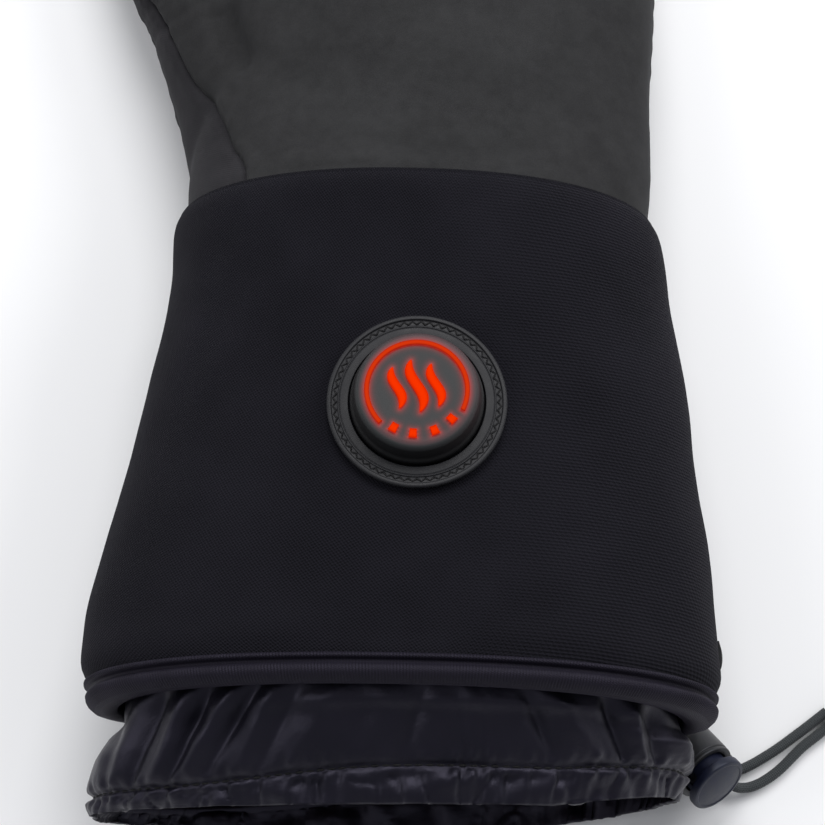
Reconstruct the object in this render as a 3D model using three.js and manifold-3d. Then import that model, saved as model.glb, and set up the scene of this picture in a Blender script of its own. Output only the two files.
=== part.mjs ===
// A heated winter glove for the right hand, lying on its palm.
// Millimetres, +Z up. The origin is on the surface that the glove lies on, under the heat button.
// +Y runs from the open cuff to the fingertips and +X to the little finger's side.
import * as THREE from 'three';
import Module from 'manifold-3d';
import { mergeVertices } from 'three/addons/utils/BufferGeometryUtils.js';

const wasm = await Module();
wasm.setup();

// Cuff: a padded knit gauntlet, open at both ends
const wristEdge = 55; // from the button's centre to the cuff's edge at the hand
const mouthEdge = 64.2; // from the button's centre to the cuff's edge at the arm
const wristHalfWidth = 58.6;
const wristHeight = 67;
const wristArch = 0.155; // how far the wrist edge leans towards the fingers, per unit of height
const archLevel = 57; // the height at which that edge is just wristEdge away
const edgeSkew = 0.024; // both edges run back towards the little finger, per unit across
const mouthArch = 0.09; // how far the mouth's edge runs out down the sides, per unit below its crown
const sideLevel = 37; // below this height the edge runs out no further
const mouthReachThumb = 77.2;
const mouthReachLittle = 69.8;
const mouthHeight = 80;
const cuffWall = 3.2;
const seamGap = 0.3;

// Binding: a folded elastic tape round the cuff's open edge
const bindingSkin = 1.2;
const bindingDepth = 5.3; // how far the tape reaches up the cuff
const bindingPlump = 2.4; // how far the roll stands out of the cuff
const ridgeWidth = 1.5;
const ridgePlump = 1.4;
const grooveWidth = 0.9;
const grooveSkin = 0.55; // the tape's thickness under the groove
const tabWidth = 5.5;
const tabThickness = 1.6;
const tabClearance = 6; // from the tab to the binding

// Storm skirt and lining
const skirtTuck = 20; // sewn this far inside the cuff's edge
const skirtDrop = 24; // shows this far below the cuff's edge
const hemLift = 4; // the hem is this much shorter on the little finger's side
const hemLiftStart = 30; // from here across to twice as far
const skirtWall = 1.2;
const gatherDepth = 1.1;
const gatherCount = 18;
const liningWall = 1.5;
const liningSetback = 11; // from the skirt's hem to the lining's edge
const liningGap = 2.5; // behind the cuff's wall

// Hand
const palmLength = 103; // from the cuff's wrist edge to the finger forks
const handTuck = 14; // how far the hand goes into the cuff
const palmHalfWidth = 58.6;
const handWall = 4.5;
const fingerWidth = 28.5;
const fingerLength = 90;
const rootHeight = 31;
const tipHeight = 25;
const thumbWidth = 31;
const thumbLength = 108;
const thumbHeight = 42; // over the ball of the thumb
const thumbSwell = 0.42; // how much wider the thumb is at its ball
const thumbSplay = 23; // degrees from the fingers' direction

// Heat button
const plateRadius = 20.2;
const plateHeight = 1.9;
const plateLip = 1.0;
const plateSeat = 0.1; // over the seam gap to the cuff's skin
const stitchChannel = 1.5;
const channelDepth = 0.5;
const channelSlope = 0.15;
const capFootRadius = 15;
const capFaceRadius = 13.1;
const capHeight = 8.2;
const capBead = 0.7; // a low bead round the foot
const capRound = 0.8; // the face's rounded edge
const buttonSides = 32;
const symbolRadius = 11.8;
const symbolStroke = 1.35;
const symbolRelief = 0.35;
const ringStart = -26; // degrees from the little finger's side
const ringEnd = 224;
const levelRadius = 11.3;
const levelHeight = 2.1;
const levelWidth = 1.7;

// Cord lock, its two cord ends and the knot
const lockFace = new THREE.Vector3(71.6, -79.6, 15.2);
const lockTurn = -50.5; // heading of the lock's axis, degrees from +X
const lockRise = 25.2; // its slope above the floor, degrees
const lockRoll = 50; // turns the cords' way out of it, degrees
const lockRadius = 7.6;
const lockLength = 15;
const lockWall = 1.7;
const plungerHead = 2.4;
const plungerGap = 2.6;
const plungerPlay = 0.4;
const rimRound = 0.8;
const lockSides = 20;
const slotLength = 1; // the slot is this much longer than the cords side by side
const slotWidth = 0.8; // and this much wider than a cord
const cordRadius = 1.25;
const cordSpacing = 4;
const cordStationShare = 0.27; // how far down the barrel the cords pass through it
const knotRadius = 4;

const ringSides = 36;
const digitSides = 14;

// Rows run from the wrist edge (0) to the mouth (1). Thumb and little are shares of the flare,
// lift is the share of the binding's thickness that runs under the cuff, and arch is the share
// of the mouth's arch.
const cuffRows = [
  { along: 0.0, thumb: 0.0, little: 0.0, rise: 0.0, lean: 1.0, lift: 0, arch: 0 },
  { along: 0.1, thumb: 0.0, little: 0.1, rise: 0.1, lean: 0.5, lift: 0, arch: 0 },
  { along: 0.2, thumb: 0.05, little: 0.18, rise: 0.2, lean: 0, lift: 0, arch: 0 },
  { along: 0.36, thumb: 0.26, little: 0.46, rise: 0.36, lean: 0, lift: 0, arch: 0 },
  { along: 0.53, thumb: 0.48, little: 0.63, rise: 0.53, lean: 0, lift: 0, arch: 0 },
  { along: 0.69, thumb: 0.75, little: 0.875, rise: 0.72, lean: 0, lift: 0, arch: 0.1 },
  { along: 0.85, thumb: 0.98, little: 0.97, rise: 0.9, lean: 0, lift: 0, arch: 0.45 },
  { along: 0.91, thumb: 1.0, little: 1.0, rise: 0.96, lean: 0, lift: 1, arch: 0.75 },
  { along: 0.95, thumb: 0.88, little: 0.8, rise: 0.95, lean: 0, lift: 1, arch: 0.9 },
  { along: 1.0, thumb: 0.73, little: 0.54, rise: 0.9, lean: 0, lift: 1, arch: 1 },
];

// Below the mouth the skirt's outline is a share of the mouth's reach and height,
// and belly is how square its underside is.
const skirtRows = [
  { along: 0.16, thumb: 0.925, little: 0.895, crown: 0.905, base: 0.02, belly: 2.3 },
  { along: 0.31, thumb: 0.972, little: 0.925, crown: 0.885, base: 0, belly: 2.6 },
  { along: 0.5, thumb: 0.992, little: 0.92, crown: 0.855, base: 0, belly: 2.9 },
  { along: 0.66, thumb: 0.987, little: 0.9, crown: 0.825, base: 0, belly: 2.9 },
  { along: 0.84, thumb: 0.997, little: 0.885, crown: 0.81, base: 0, belly: 2.9 },
  { along: 1.0, thumb: 0.993, little: 0.87, crown: 0.79, base: 0, belly: 2.9 },
];

// Rows run from the cuff's wrist edge (0) to the finger forks (1).
const palmRows = [
  { along: 0.1, thumb: 0.94, little: 0.983, crown: 0.945, base: 0.2 },
  { along: 0.24, thumb: 0.92, little: 0.99, crown: 0.88, base: 0 },
  { along: 0.4, thumb: 0.88, little: 0.993, crown: 0.825, base: 0 },
  { along: 0.56, thumb: 0.85, little: 1.0, crown: 0.77, base: 0 },
  { along: 0.74, thumb: 0.855, little: 0.998, crown: 0.7, base: 0 },
  { along: 0.92, thumb: 0.87, little: 0.985, crown: 0.6, base: 0 },
  { along: 0.98, thumb: 0.83, little: 0.955, crown: 0.53, base: 0.02 },
  { along: 1.02, thumb: 0.76, little: 0.88, crown: 0.42, base: 0.06 },
];

// Across is a share of the palm's half width, splay is in degrees towards the little finger.
// From the index finger to the little finger.
const fingers = [
  { across: -0.61, splay: -4, width: 0.985, length: 0.87, back: 0 },
  { across: -0.135, splay: -0.5, width: 1.0, length: 0.98, back: 0 },
  { across: 0.335, splay: 3, width: 0.965, length: 0.91, back: 0.02 },
  { across: 0.775, splay: 7.5, width: 0.88, length: 0.73, back: 0.05 },
];
const fingerRoot = 14; // each finger starts this far behind the fork

const digitRows = [
  { along: 0.0, girth: 1.0 },
  { along: 0.2, girth: 1.0 },
  { along: 0.42, girth: 1.0 },
  { along: 0.7, girth: 0.96 },
  { along: 0.86, girth: 0.86 },
  { along: 0.95, girth: 0.66 },
  { along: 0.99, girth: 0.38 },
];

// Heights of the back panel's edge on either side, as shares of the crown's height there.
const backSeamRows = [
  { along: -0.2, thumb: 0.9, little: 0.43 },
  { along: 0.02, thumb: 0.9, little: 0.43 },
  { along: 0.12, thumb: 0.815, little: 0.43 },
  { along: 0.205, thumb: 0.757, little: 0.43 },
  { along: 0.29, thumb: 0.665, little: 0.43 },
  { along: 0.35, thumb: 0.625, little: 0.435 },
  { along: 0.51, thumb: 0.58, little: 0.445 },
  { along: 0.62, thumb: 0.52, little: 0.46 },
  { along: 0.73, thumb: 0.47, little: 0.48 },
  { along: 0.92, thumb: 0.55, little: 0.53 },
  { along: 1.08, thumb: 0.62, little: 0.62 },
  { along: 1.4, thumb: 0.62, little: 0.62 },
  { along: 2.1, thumb: 0.62, little: 0.62 },
];
const blockStart = -0.3; // the blocks that cut the hand start here, inside the cuff
const backSeamBlend = 35; // the two edges' heights blend between these distances from the middle
const palmSeamShare = 0.27; // the palm panel's edge, a share of the crown's height

const waistShare = 0.46; // where a section is widest, as a share of its height
const crownSquare = 2.2;
const bellySquare = 2.05;
const bellySink = 1.2; // the belly would reach this far below its flat

const degrees = (angle) => THREE.MathUtils.degToRad(angle);
const mix = THREE.MathUtils.lerp;

// The value of one column of a table at a place along it.
function rowValue(rows, along, key) {
  const last = rows.length - 1;
  const next = Math.min(last, Math.max(1, rows.findIndex((row) => row.along >= along)));
  const upper = along > rows[last].along ? last : next;
  const a = rows[upper - 1];
  const b = rows[upper];
  const share = THREE.MathUtils.clamp((along - a.along) / (b.along - a.along), 0, 1);
  return mix(a[key], b[key], share);
}

// One oval section: reach to either side, a crown, and a belly pressed flat where it rests.
function ovalRing(section, y, sides = ringSides) {
  const { thumb, little, crown, base = 0, lean = 0, skew = 0, arch = 0, belly = bellySquare } = section;
  const waist = base + waistShare * (crown - base);
  return Array.from({ length: sides }, (_, i) => {
    const angle = (i / sides) * Math.PI * 2;
    const c = Math.cos(angle);
    const s = Math.sin(angle);
    const square = 2 / (s >= 0 ? crownSquare : belly);
    const x = Math.sign(c) * Math.abs(c) ** square * (c > 0 ? little : thumb);
    const rise = s >= 0 ? crown - waist : waist - base + bellySink;
    const z = Math.max(base, waist + Math.sign(s) * Math.abs(s) ** square * rise);
    const runOut = arch * (mouthHeight - Math.max(z, sideLevel));
    return new THREE.Vector3(x, y + lean * (z - archLevel) - skew * x - runOut, z);
  });
}

// The same ring moved inwards by a wall, in its own upright plane.
function inset(ring, wall) {
  return ring.map((point, i) => {
    const before = ring[(i + ring.length - 1) % ring.length];
    const after = ring[(i + 1) % ring.length];
    const edgeA = new THREE.Vector2(point.x - before.x, point.z - before.z).normalize();
    const edgeB = new THREE.Vector2(after.x - point.x, after.z - point.z).normalize();
    const normal = new THREE.Vector2(edgeA.y + edgeB.y, -edgeA.x - edgeB.x).normalize();
    const spread = Math.max(0.5, normal.x * edgeA.y - normal.y * edgeA.x);
    const step = wall / spread;
    return new THREE.Vector3(point.x - normal.x * step, point.y, point.z - normal.y * step);
  });
}

// A ring with a point added halfway along each side.
function halved(ring) {
  return ring.flatMap((point, i) => [point, point.clone().lerp(ring[(i + 1) % ring.length], 0.5)]);
}

function shifted(ring, along) {
  return ring.map((point) => new THREE.Vector3(point.x, point.y + along, point.z));
}

function geometryOf(points, faces) {
  const geometry = new THREE.BufferGeometry();
  geometry.setAttribute('position', new THREE.Float32BufferAttribute(points.flatMap((p) => p.toArray()), 3));
  geometry.setIndex(faces.flat());
  return facingOut(geometry);
}

function facingOut(geometry) {
  const at = geometry.attributes.position;
  const index = geometry.index.array;
  const corner = (k) => new THREE.Vector3().fromBufferAttribute(at, index[k]);
  let volume = 0;
  for (let k = 0; k < index.length; k += 3) {
    volume += corner(k).dot(corner(k + 1).cross(corner(k + 2)));
  }
  if (volume < 0) {
    for (let k = 0; k < index.length; k += 3) {
      [index[k], index[k + 1]] = [index[k + 1], index[k]];
    }
  }
  return geometry;
}

// Skins a list of rings. A looped skin closes on its first ring, and any other gets two end caps.
function skin(rings, looped) {
  const sides = rings[0].length;
  const points = rings.flat();
  const faces = [];
  const spans = looped ? rings.length : rings.length - 1;
  for (let j = 0; j < spans; j++) {
    const near = j * sides;
    const far = ((j + 1) % rings.length) * sides;
    for (let i = 0; i < sides; i++) {
      const k = (i + 1) % sides;
      faces.push([near + i, far + i, far + k], [near + i, far + k, near + k]);
    }
  }
  if (!looped) {
    const middle = (ring) => ring.reduce((sum, p) => sum.add(p), new THREE.Vector3()).divideScalar(sides);
    const first = points.push(middle(rings[0])) - 1;
    const last = points.push(middle(rings.at(-1))) - 1;
    const top = (rings.length - 1) * sides;
    for (let i = 0; i < sides; i++) {
      const k = (i + 1) % sides;
      faces.push([first, i, k], [last, top + k, top + i]);
    }
  }
  return geometryOf(points, faces);
}

function solid(geometry) {
  const bare = geometry.clone();
  bare.deleteAttribute('normal');
  bare.deleteAttribute('uv');
  const merged = facingOut(mergeVertices(bare, 1e-4));
  return new wasm.Manifold(new wasm.Mesh({
    numProp: 3,
    vertProperties: new Float32Array(merged.attributes.position.array),
    triVerts: new Uint32Array(merged.index.array),
  }));
}

function geometryFrom(manifold) {
  const mesh = manifold.getMesh();
  const geometry = new THREE.BufferGeometry();
  geometry.setAttribute('position', new THREE.BufferAttribute(new Float32Array(mesh.vertProperties), 3));
  geometry.setIndex(new THREE.BufferAttribute(new Uint32Array(mesh.triVerts), 1));
  return geometry;
}

const glove = new THREE.Group();

function addPiece(name, geometry, material, parent = glove) {
  const mesh = new THREE.Mesh(geometry, material);
  mesh.name = name;
  parent.add(mesh);
}

const paint = (color, roughness) => new THREE.MeshStandardMaterial({ color, roughness, metalness: 0 });
const knit = paint(0x1d1c21, 0.95);
const tape = paint(0x1b1920, 0.85);
const softshell = paint(0x333335, 0.92);
const gusset = paint(0x2b2a2d, 0.92);
const palmGrip = paint(0x222124, 0.8);
const nylon = paint(0x211f29, 0.5);
const fleece = paint(0x6e1714, 1);
const silicone = paint(0x2d2c30, 0.6);
const glow = paint(0xff3208, 0.4);
const plastic = paint(0x1c1e26, 0.4);
const elastic = paint(0x26282b, 0.7);

// Cuff

const cuffLength = wristEdge + mouthEdge;

function cuffSection(along) {
  return {
    thumb: mix(wristHalfWidth, mouthReachThumb, rowValue(cuffRows, along, 'thumb')),
    little: mix(wristHalfWidth, mouthReachLittle, rowValue(cuffRows, along, 'little')),
    crown: mix(wristHeight, mouthHeight, rowValue(cuffRows, along, 'rise')),
    base: (bindingSkin + seamGap) * rowValue(cuffRows, along, 'lift'),
    lean: wristArch * rowValue(cuffRows, along, 'lean'),
    skew: edgeSkew,
    arch: mouthArch * rowValue(cuffRows, along, 'arch'),
  };
}

const cuffRings = cuffRows.map(({ along }) => ovalRing(cuffSection(along), wristEdge - along * cuffLength));

// The cuff's outer ring at any place along it, on the flats between its rows.
function cuffRing(along) {
  const upper = Math.max(1, cuffRows.findIndex((row) => row.along >= Math.min(along, 1)));
  const a = cuffRows[upper - 1].along;
  const b = cuffRows[upper].along;
  const share = (along - a) / (b - a);
  return cuffRings[upper - 1].map((point, i) => point.clone().lerp(cuffRings[upper][i], share));
}

function cuffGeometry() {
  const inner = cuffRings.map((ring) => inset(ring, cuffWall));
  const rolled = shifted(inset(cuffRings[0], cuffWall / 2), cuffWall / 2);
  return skin([rolled, ...cuffRings, ...inner.reverse()], true);
}

// Height of the cuff's crown over a point near the button.
function crownHeight(x, y) {
  const ring = cuffRing((wristEdge - y - edgeSkew * x) / cuffLength);
  for (let i = 0; i < ringSides / 2; i++) {
    const a = ring[i];
    const b = ring[i + 1];
    if (a.x >= x && b.x <= x) {
      return mix(a.z, b.z, (a.x - x) / (a.x - b.x));
    }
  }
  return mouthHeight;
}

// Binding: each profile point is a depth from the edge and an offset from the cuff's outer face.
function bindingGeometry() {
  const roll = bindingDepth;
  const ridge = roll + grooveWidth;
  const top = ridge + ridgeWidth;
  const inside = -cuffWall - seamGap;
  const profile = [
    { deep: top, out: seamGap },
    { deep: top - ridgeWidth * 0.15, out: ridgePlump * 0.75 },
    { deep: top - ridgeWidth * 0.5, out: ridgePlump },
    { deep: ridge, out: grooveSkin + seamGap },
    { deep: roll, out: grooveSkin + seamGap },
    { deep: roll * 0.78, out: bindingPlump * 0.85 },
    { deep: roll * 0.45, out: bindingPlump },
    { deep: roll * 0.1, out: bindingPlump * 0.85 },
    { deep: -bindingSkin, out: bindingPlump * 0.2 },
    { deep: -bindingSkin - seamGap, out: inside * 0.5 },
    { deep: -bindingSkin * 0.6, out: inside - bindingSkin * 0.6 },
    { deep: roll * 0.3, out: inside - bindingSkin },
    { deep: roll * 0.8, out: inside - bindingSkin },
    { deep: roll * 0.8, out: inside },
    { deep: -seamGap, out: inside },
    { deep: -seamGap, out: seamGap },
    ...cuffRows.slice(1, -1).reverse()
      .map((row) => ({ deep: (1 - row.along) * cuffLength, out: seamGap }))
      .filter(({ deep }) => deep < top),
  ];
  const rings = profile.map(({ deep, out }) => {
    const ring = cuffRing(1 - Math.max(0, deep) / cuffLength);
    const moved = inset(ring, -out);
    for (const point of moved) point.z = Math.max(0, point.z);
    return shifted(moved, Math.min(0, deep));
  });
  return skin(rings, true);
}

// Cord lock frame: X is the plunger's way out, and the cords leave along minus Z.

const lock = new THREE.Group();
lock.position.copy(lockFace);
lock.rotation.order = 'ZYX';
lock.rotation.set(degrees(lockRoll), degrees(-lockRise), degrees(lockTurn));
lock.updateMatrix();
const lockOut = new THREE.Vector3(1, 0, 0).applyEuler(lock.rotation);
const lockStart = plungerHead + plungerGap;
const lockEnd = lockStart + lockLength;

// Moves a soft point out of the lock's room.
function clearOfLock(point) {
  const along = THREE.MathUtils.clamp(point.clone().sub(lockFace).dot(lockOut), -lockEnd, 0);
  const axisPoint = lockFace.clone().addScaledVector(lockOut, along);
  const away = point.clone().sub(axisPoint);
  const room = lockRadius + seamGap + 0.4;
  if (away.length() >= room) return point;
  return axisPoint.add(away.setLength(room));
}

// Storm skirt

function skirtFold(i, sides, along) {
  const turn = (i / sides) * gatherCount + 0.35 * Math.sin((i / sides) * 5 * Math.PI) + along * 0.8;
  return Math.sin(turn * Math.PI * 2);
}

function skirtRings() {
  const sides = ringSides * 2;
  const behindBinding = cuffWall + bindingSkin + 2 * seamGap;
  const sewn = halved(inset(cuffRing(1 - skirtTuck / cuffLength), cuffWall + seamGap));
  const throat = halved(inset(cuffRing(1 - (bindingDepth * 1.1) / cuffLength), behindBinding + seamGap));
  const lip = halved(shifted(inset(cuffRing(1), behindBinding + seamGap), -bindingSkin));
  const free = skirtRows.map((row) => {
    const section = {
      thumb: mouthReachThumb * row.thumb,
      little: mouthReachLittle * row.little,
      crown: mouthHeight * row.crown,
      base: mouthHeight * row.base,
      belly: row.belly,
      skew: edgeSkew * (1 - row.along),
      arch: mouthArch * (1 - row.along),
    };
    const ring = ovalRing(section, -mouthEdge - skirtDrop * row.along, sides);
    const gathered = ring.map((point, i) => {
      const centre = new THREE.Vector3((section.little - section.thumb) / 2, point.y, section.crown / 2);
      const out = point.clone().sub(centre).normalize();
      const fold = gatherDepth * skirtFold(i, sides, row.along) * (point.z > section.base + 2 ? 1 : 0);
      const moved = point.clone().addScaledVector(out, fold - gatherDepth);
      moved.z = point.z > section.base ? Math.max(section.base, moved.z) : point.z;
      moved.y += hemLift * row.along * THREE.MathUtils.clamp(point.x / hemLiftStart - 1, 0, 1);
      return moved;
    });
    return gathered.map(clearOfLock);
  });
  return [sewn, throat, lip, ...free];
}

const skirtOuter = skirtRings();
const skirtInner = skirtOuter.map((ring) => inset(ring, skirtWall));

// Lining: a smooth sleeve inside the skirt and the cuff, up to the hand's own wall.

function liningGeometry() {
  const handEnd = (handTuck + seamGap) / cuffLength;
  const start = inset(cuffRing(handEnd), cuffWall + seamGap + (handWall - liningWall) / 2);
  const rowsInCuff = [0.3, 0.55, 0.8].map((along) => inset(cuffRing(along), cuffWall + liningGap));
  const liningEnd = -mouthEdge - skirtDrop + liningSetback;
  const inSkirt = skirtInner.slice(2, -1).filter((ring) => ring[0].y > liningEnd);
  const everyOther = (ring) => ring.filter((_, i) => i % 2 === 0);
  const rowsInSkirt = inSkirt.map((ring) => inset(everyOther(ring), seamGap + 2 * gatherDepth));
  const outer = [start, ...rowsInCuff, ...rowsInSkirt];
  const inner = outer.map((ring) => inset(ring, liningWall));
  return skin([...outer, ...inner.reverse()], true);
}

// Hand

function palmSection(along) {
  return {
    thumb: palmHalfWidth * rowValue(palmRows, along, 'thumb'),
    little: palmHalfWidth * rowValue(palmRows, along, 'little'),
    crown: (wristHeight - cuffWall - seamGap) * rowValue(palmRows, along, 'crown'),
    base: (cuffWall + seamGap) * rowValue(palmRows, along, 'base'),
  };
}

const forkLine = wristEdge + palmLength;

function palmRings(wall) {
  const inCuff = [handTuck / cuffLength, 0].map((along) => inset(cuffRing(along), cuffWall + seamGap + wall));
  const free = palmRows.map(({ along }) => ovalRing(palmSection(along), wristEdge + palmLength * along));
  if (wall === 0) return [...inCuff, ...free];
  const inner = free.slice(0, -1).map((ring) => inset(ring, wall));
  inner.push(shifted(inset(free.at(-2), wall * 1.6), -wall * 0.2 + palmLength * 0.02));
  return [shifted(inCuff[0], -2 * handWall), ...inCuff, ...inner];
}

const digits = fingers.map((finger) => ({
  foot: new THREE.Vector2(palmHalfWidth * finger.across, forkLine - fingerRoot - palmLength * finger.back),
  heading: degrees(finger.splay),
  width: fingerWidth * finger.width,
  length: fingerLength * finger.length + fingerRoot,
  root: rootHeight,
  swell: 0,
}));
digits.unshift({
  foot: new THREE.Vector2(-0.58 * palmHalfWidth, wristEdge + 0.125 * palmLength),
  heading: degrees(-thumbSplay),
  width: thumbWidth,
  length: thumbLength,
  root: thumbHeight,
  swell: thumbSwell,
});

function digitSolid(digit, wall) {
  const ahead = new THREE.Vector2(Math.sin(digit.heading), Math.cos(digit.heading));
  const rings = digitRows.map((row) => {
    const reach = row.along * (digit.length - wall);
    const middle = mix(digit.root, tipHeight, row.along) / 2;
    const swell = 1 + digit.swell * Math.max(0, 1 - 2 * row.along) ** 2;
    const halfWidth = (digit.width / 2) * row.girth * swell - wall;
    const halfHeight = middle * row.girth - wall;
    const narrow = Math.max(0.15, Math.min(halfWidth, halfHeight) / (digit.width / 2));
    return Array.from({ length: digitSides }, (_, i) => {
      const angle = ((i + 0.5) / digitSides) * Math.PI * 2;
      const across = Math.cos(angle) * Math.max(halfWidth, narrow * 2);
      const square = Math.sign(Math.sin(angle)) * Math.abs(Math.sin(angle)) ** 0.85;
      const up = Math.max(-middle + wall, square * Math.max(halfHeight, narrow * 2) * 1.04);
      const x = digit.foot.x + ahead.x * reach + ahead.y * across;
      const y = digit.foot.y + ahead.y * reach - ahead.x * across;
      return new THREE.Vector3(x, y, middle + up);
    });
  });
  return solid(skin(rings, false));
}

// Crown height of the hand at a place along it, which the seams follow.
function handCrown(along) {
  const palm = (wristHeight - cuffWall - seamGap) * rowValue(palmRows, along, 'crown');
  const past = THREE.MathUtils.clamp((along - 0.92) / 0.16, 0, 1);
  const inFinger = THREE.MathUtils.clamp((along - 1) * palmLength / fingerLength, 0, 1);
  return mix(palm, mix(rootHeight, tipHeight, inFinger), past);
}

function backSeamHeight(x, y) {
  const along = (y - wristEdge) / palmLength;
  const thumbSide = rowValue(backSeamRows, along, 'thumb');
  const littleSide = rowValue(backSeamRows, along, 'little');
  const share = THREE.MathUtils.clamp((x + backSeamBlend) / (2 * backSeamBlend), 0, 1);
  return handCrown(along) * mix(thumbSide, littleSide, share);
}

function palmSeamHeight(x, y) {
  return handCrown((y - wristEdge) / palmLength) * palmSeamShare;
}

// A block between two height fields, wide enough to hold the whole hand.
function heightBlock(lower, upper) {
  const side = palmHalfWidth + thumbLength;
  const xs = [-side, -backSeamBlend, backSeamBlend, side];
  const stations = [blockStart, ...backSeamRows.slice(1).map((row) => row.along)];
  const points = [];
  for (const height of [lower, upper]) {
    for (const along of stations) {
      const y = wristEdge + palmLength * along;
      for (const x of xs) points.push(new THREE.Vector3(x, y, height(x, y)));
    }
  }
  const wide = xs.length;
  const long = stations.length;
  const at = (layer, j, i) => layer * wide * long + j * wide + i;
  const faces = [];
  const quad = (a, b, c, d) => faces.push([a, b, c], [a, c, d]);
  for (let j = 0; j < long - 1; j++) {
    for (let i = 0; i < wide - 1; i++) {
      quad(at(0, j, i), at(0, j + 1, i), at(0, j + 1, i + 1), at(0, j, i + 1));
      quad(at(1, j, i), at(1, j, i + 1), at(1, j + 1, i + 1), at(1, j + 1, i));
    }
    quad(at(0, j, 0), at(1, j, 0), at(1, j + 1, 0), at(0, j + 1, 0));
    quad(at(0, j, wide - 1), at(0, j + 1, wide - 1), at(1, j + 1, wide - 1), at(1, j, wide - 1));
  }
  for (let i = 0; i < wide - 1; i++) {
    quad(at(0, 0, i), at(0, 0, i + 1), at(1, 0, i + 1), at(1, 0, i));
    quad(at(0, long - 1, i), at(1, long - 1, i), at(1, long - 1, i + 1), at(0, long - 1, i + 1));
  }
  return solid(geometryOf(points, faces));
}

// A thin upright blade at a digit's tip, which parts the side walls there.
function tipBlade(digit) {
  const depth = digit.length * 0.25;
  const blade = new THREE.BoxGeometry(seamGap, depth, 3 * rootHeight);
  const reach = digit.length * 1.05 - depth / 2;
  blade.rotateZ(-digit.heading);
  blade.translate(
    digit.foot.x + Math.sin(digit.heading) * reach,
    digit.foot.y + Math.cos(digit.heading) * reach,
    rootHeight,
  );
  return solid(blade);
}

function handPanels() {
  let outer = solid(skin(palmRings(0), false));
  let inner = solid(skin(palmRings(handWall), false));
  for (const digit of digits) {
    outer = outer.add(digitSolid(digit, 0));
    inner = inner.add(digitSolid(digit, handWall));
  }
  const shell = outer.subtract(inner);
  const half = seamGap / 2;
  const high = () => 2 * mouthHeight;
  const low = () => -mouthHeight;
  const back = shell.intersect(heightBlock((x, y) => backSeamHeight(x, y) + half, high));
  const palm = shell.intersect(heightBlock(low, (x, y) => palmSeamHeight(x, y) - half));
  let band = shell.intersect(
    heightBlock((x, y) => palmSeamHeight(x, y) + half, (x, y) => backSeamHeight(x, y) - half),
  );
  for (const digit of digits) band = band.subtract(tipBlade(digit));
  const middle = (piece) => {
    const box = piece.boundingBox();
    return box.min[0] + box.max[0];
  };
  const sides = band.decompose().sort((a, b) => middle(a) - middle(b));
  return { back, palm, sides };
}

// Heat button

function drapedLathe(profile, segments) {
  const geometry = new THREE.LatheGeometry(profile.map(([r, h]) => new THREE.Vector2(r, h)), segments);
  geometry.rotateX(Math.PI / 2);
  const at = geometry.attributes.position;
  for (let i = 0; i < at.count; i++) {
    const x = at.getX(i);
    const y = at.getY(i);
    at.setXYZ(i, x, y, crownHeight(x, y) + seamGap + at.getZ(i));
  }
  return geometryFrom(solid(geometry));
}

function plateGeometry() {
  const hole = capFootRadius + seamGap;
  const channelOut = plateRadius - plateLip;
  const channelIn = channelOut - stitchChannel;
  return drapedLathe([
    [hole, plateSeat],
    [plateRadius, plateSeat],
    [plateRadius, plateHeight * 0.8],
    [plateRadius - plateLip * 0.3, plateHeight],
    [channelOut, plateHeight],
    [channelOut - channelSlope, plateHeight - channelDepth],
    [channelIn + channelSlope, plateHeight - channelDepth],
    [channelIn, plateHeight - channelDepth * 0.3],
    [hole, plateHeight - channelDepth * 0.3],
    [hole, plateSeat],
  ], buttonSides);
}

const buttonSlope = Math.atan2(
  crownHeight(0, -capFootRadius) - crownHeight(0, capFootRadius),
  2 * capFootRadius,
);
const button = new THREE.Group();
button.position.set(0, 0, crownHeight(0, 0) + seamGap * 1.3);
button.rotation.x = -buttonSlope;

function capGeometry() {
  const profile = [
    [0, 0],
    [capFootRadius, 0],
    [capFootRadius - capBead * 0.3, plateHeight * 1.2],
    [capFootRadius - capBead, plateHeight * 1.7],
    [capFaceRadius + capRound * 0.75, capHeight - capRound * 1.25],
    [capFaceRadius, capHeight - capRound * 0.3],
    [capFaceRadius - capRound, capHeight],
    [0, capHeight],
  ];
  const geometry = new THREE.LatheGeometry(profile.map(([r, h]) => new THREE.Vector2(r, h)), buttonSides);
  geometry.rotateX(Math.PI / 2);
  return geometryFrom(solid(geometry));
}

function reliefOf(shape, steps) {
  const relief = { depth: symbolRelief, bevelEnabled: false, curveSegments: steps, steps: 1 };
  const geometry = new THREE.ExtrudeGeometry(shape, relief);
  geometry.translate(0, 0, capHeight + seamGap);
  return geometryFrom(solid(geometry));
}

function arcGeometry({ outer, stroke, from, to, steps }) {
  const shape = new THREE.Shape();
  shape.absarc(0, 0, outer, degrees(from), degrees(to), false);
  shape.absarc(0, 0, outer - stroke, degrees(to), degrees(from), true);
  shape.closePath();
  return reliefOf(shape, steps);
}

// A rising heat wave: an S-shaped stroke that swells in its middle.
function waveGeometry({ across, top, bottom, width }) {
  const steps = 9;
  const sway = (top - bottom) * 0.13;
  const side = (u, sign) => {
    const x = across - sway * Math.cos((Math.PI * (u - 0.15)) / 0.64);
    const half = (width / 2) * Math.sin(Math.PI * u) ** 0.6;
    return new THREE.Vector2(x + sign * half, mix(top, bottom, u));
  };
  const points = [];
  for (let i = 0; i <= steps; i++) points.push(side(i / steps, 1));
  for (let i = steps - 1; i > 0; i--) points.push(side(i / steps, -1));
  return reliefOf(new THREE.Shape(points), 1);
}

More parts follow.
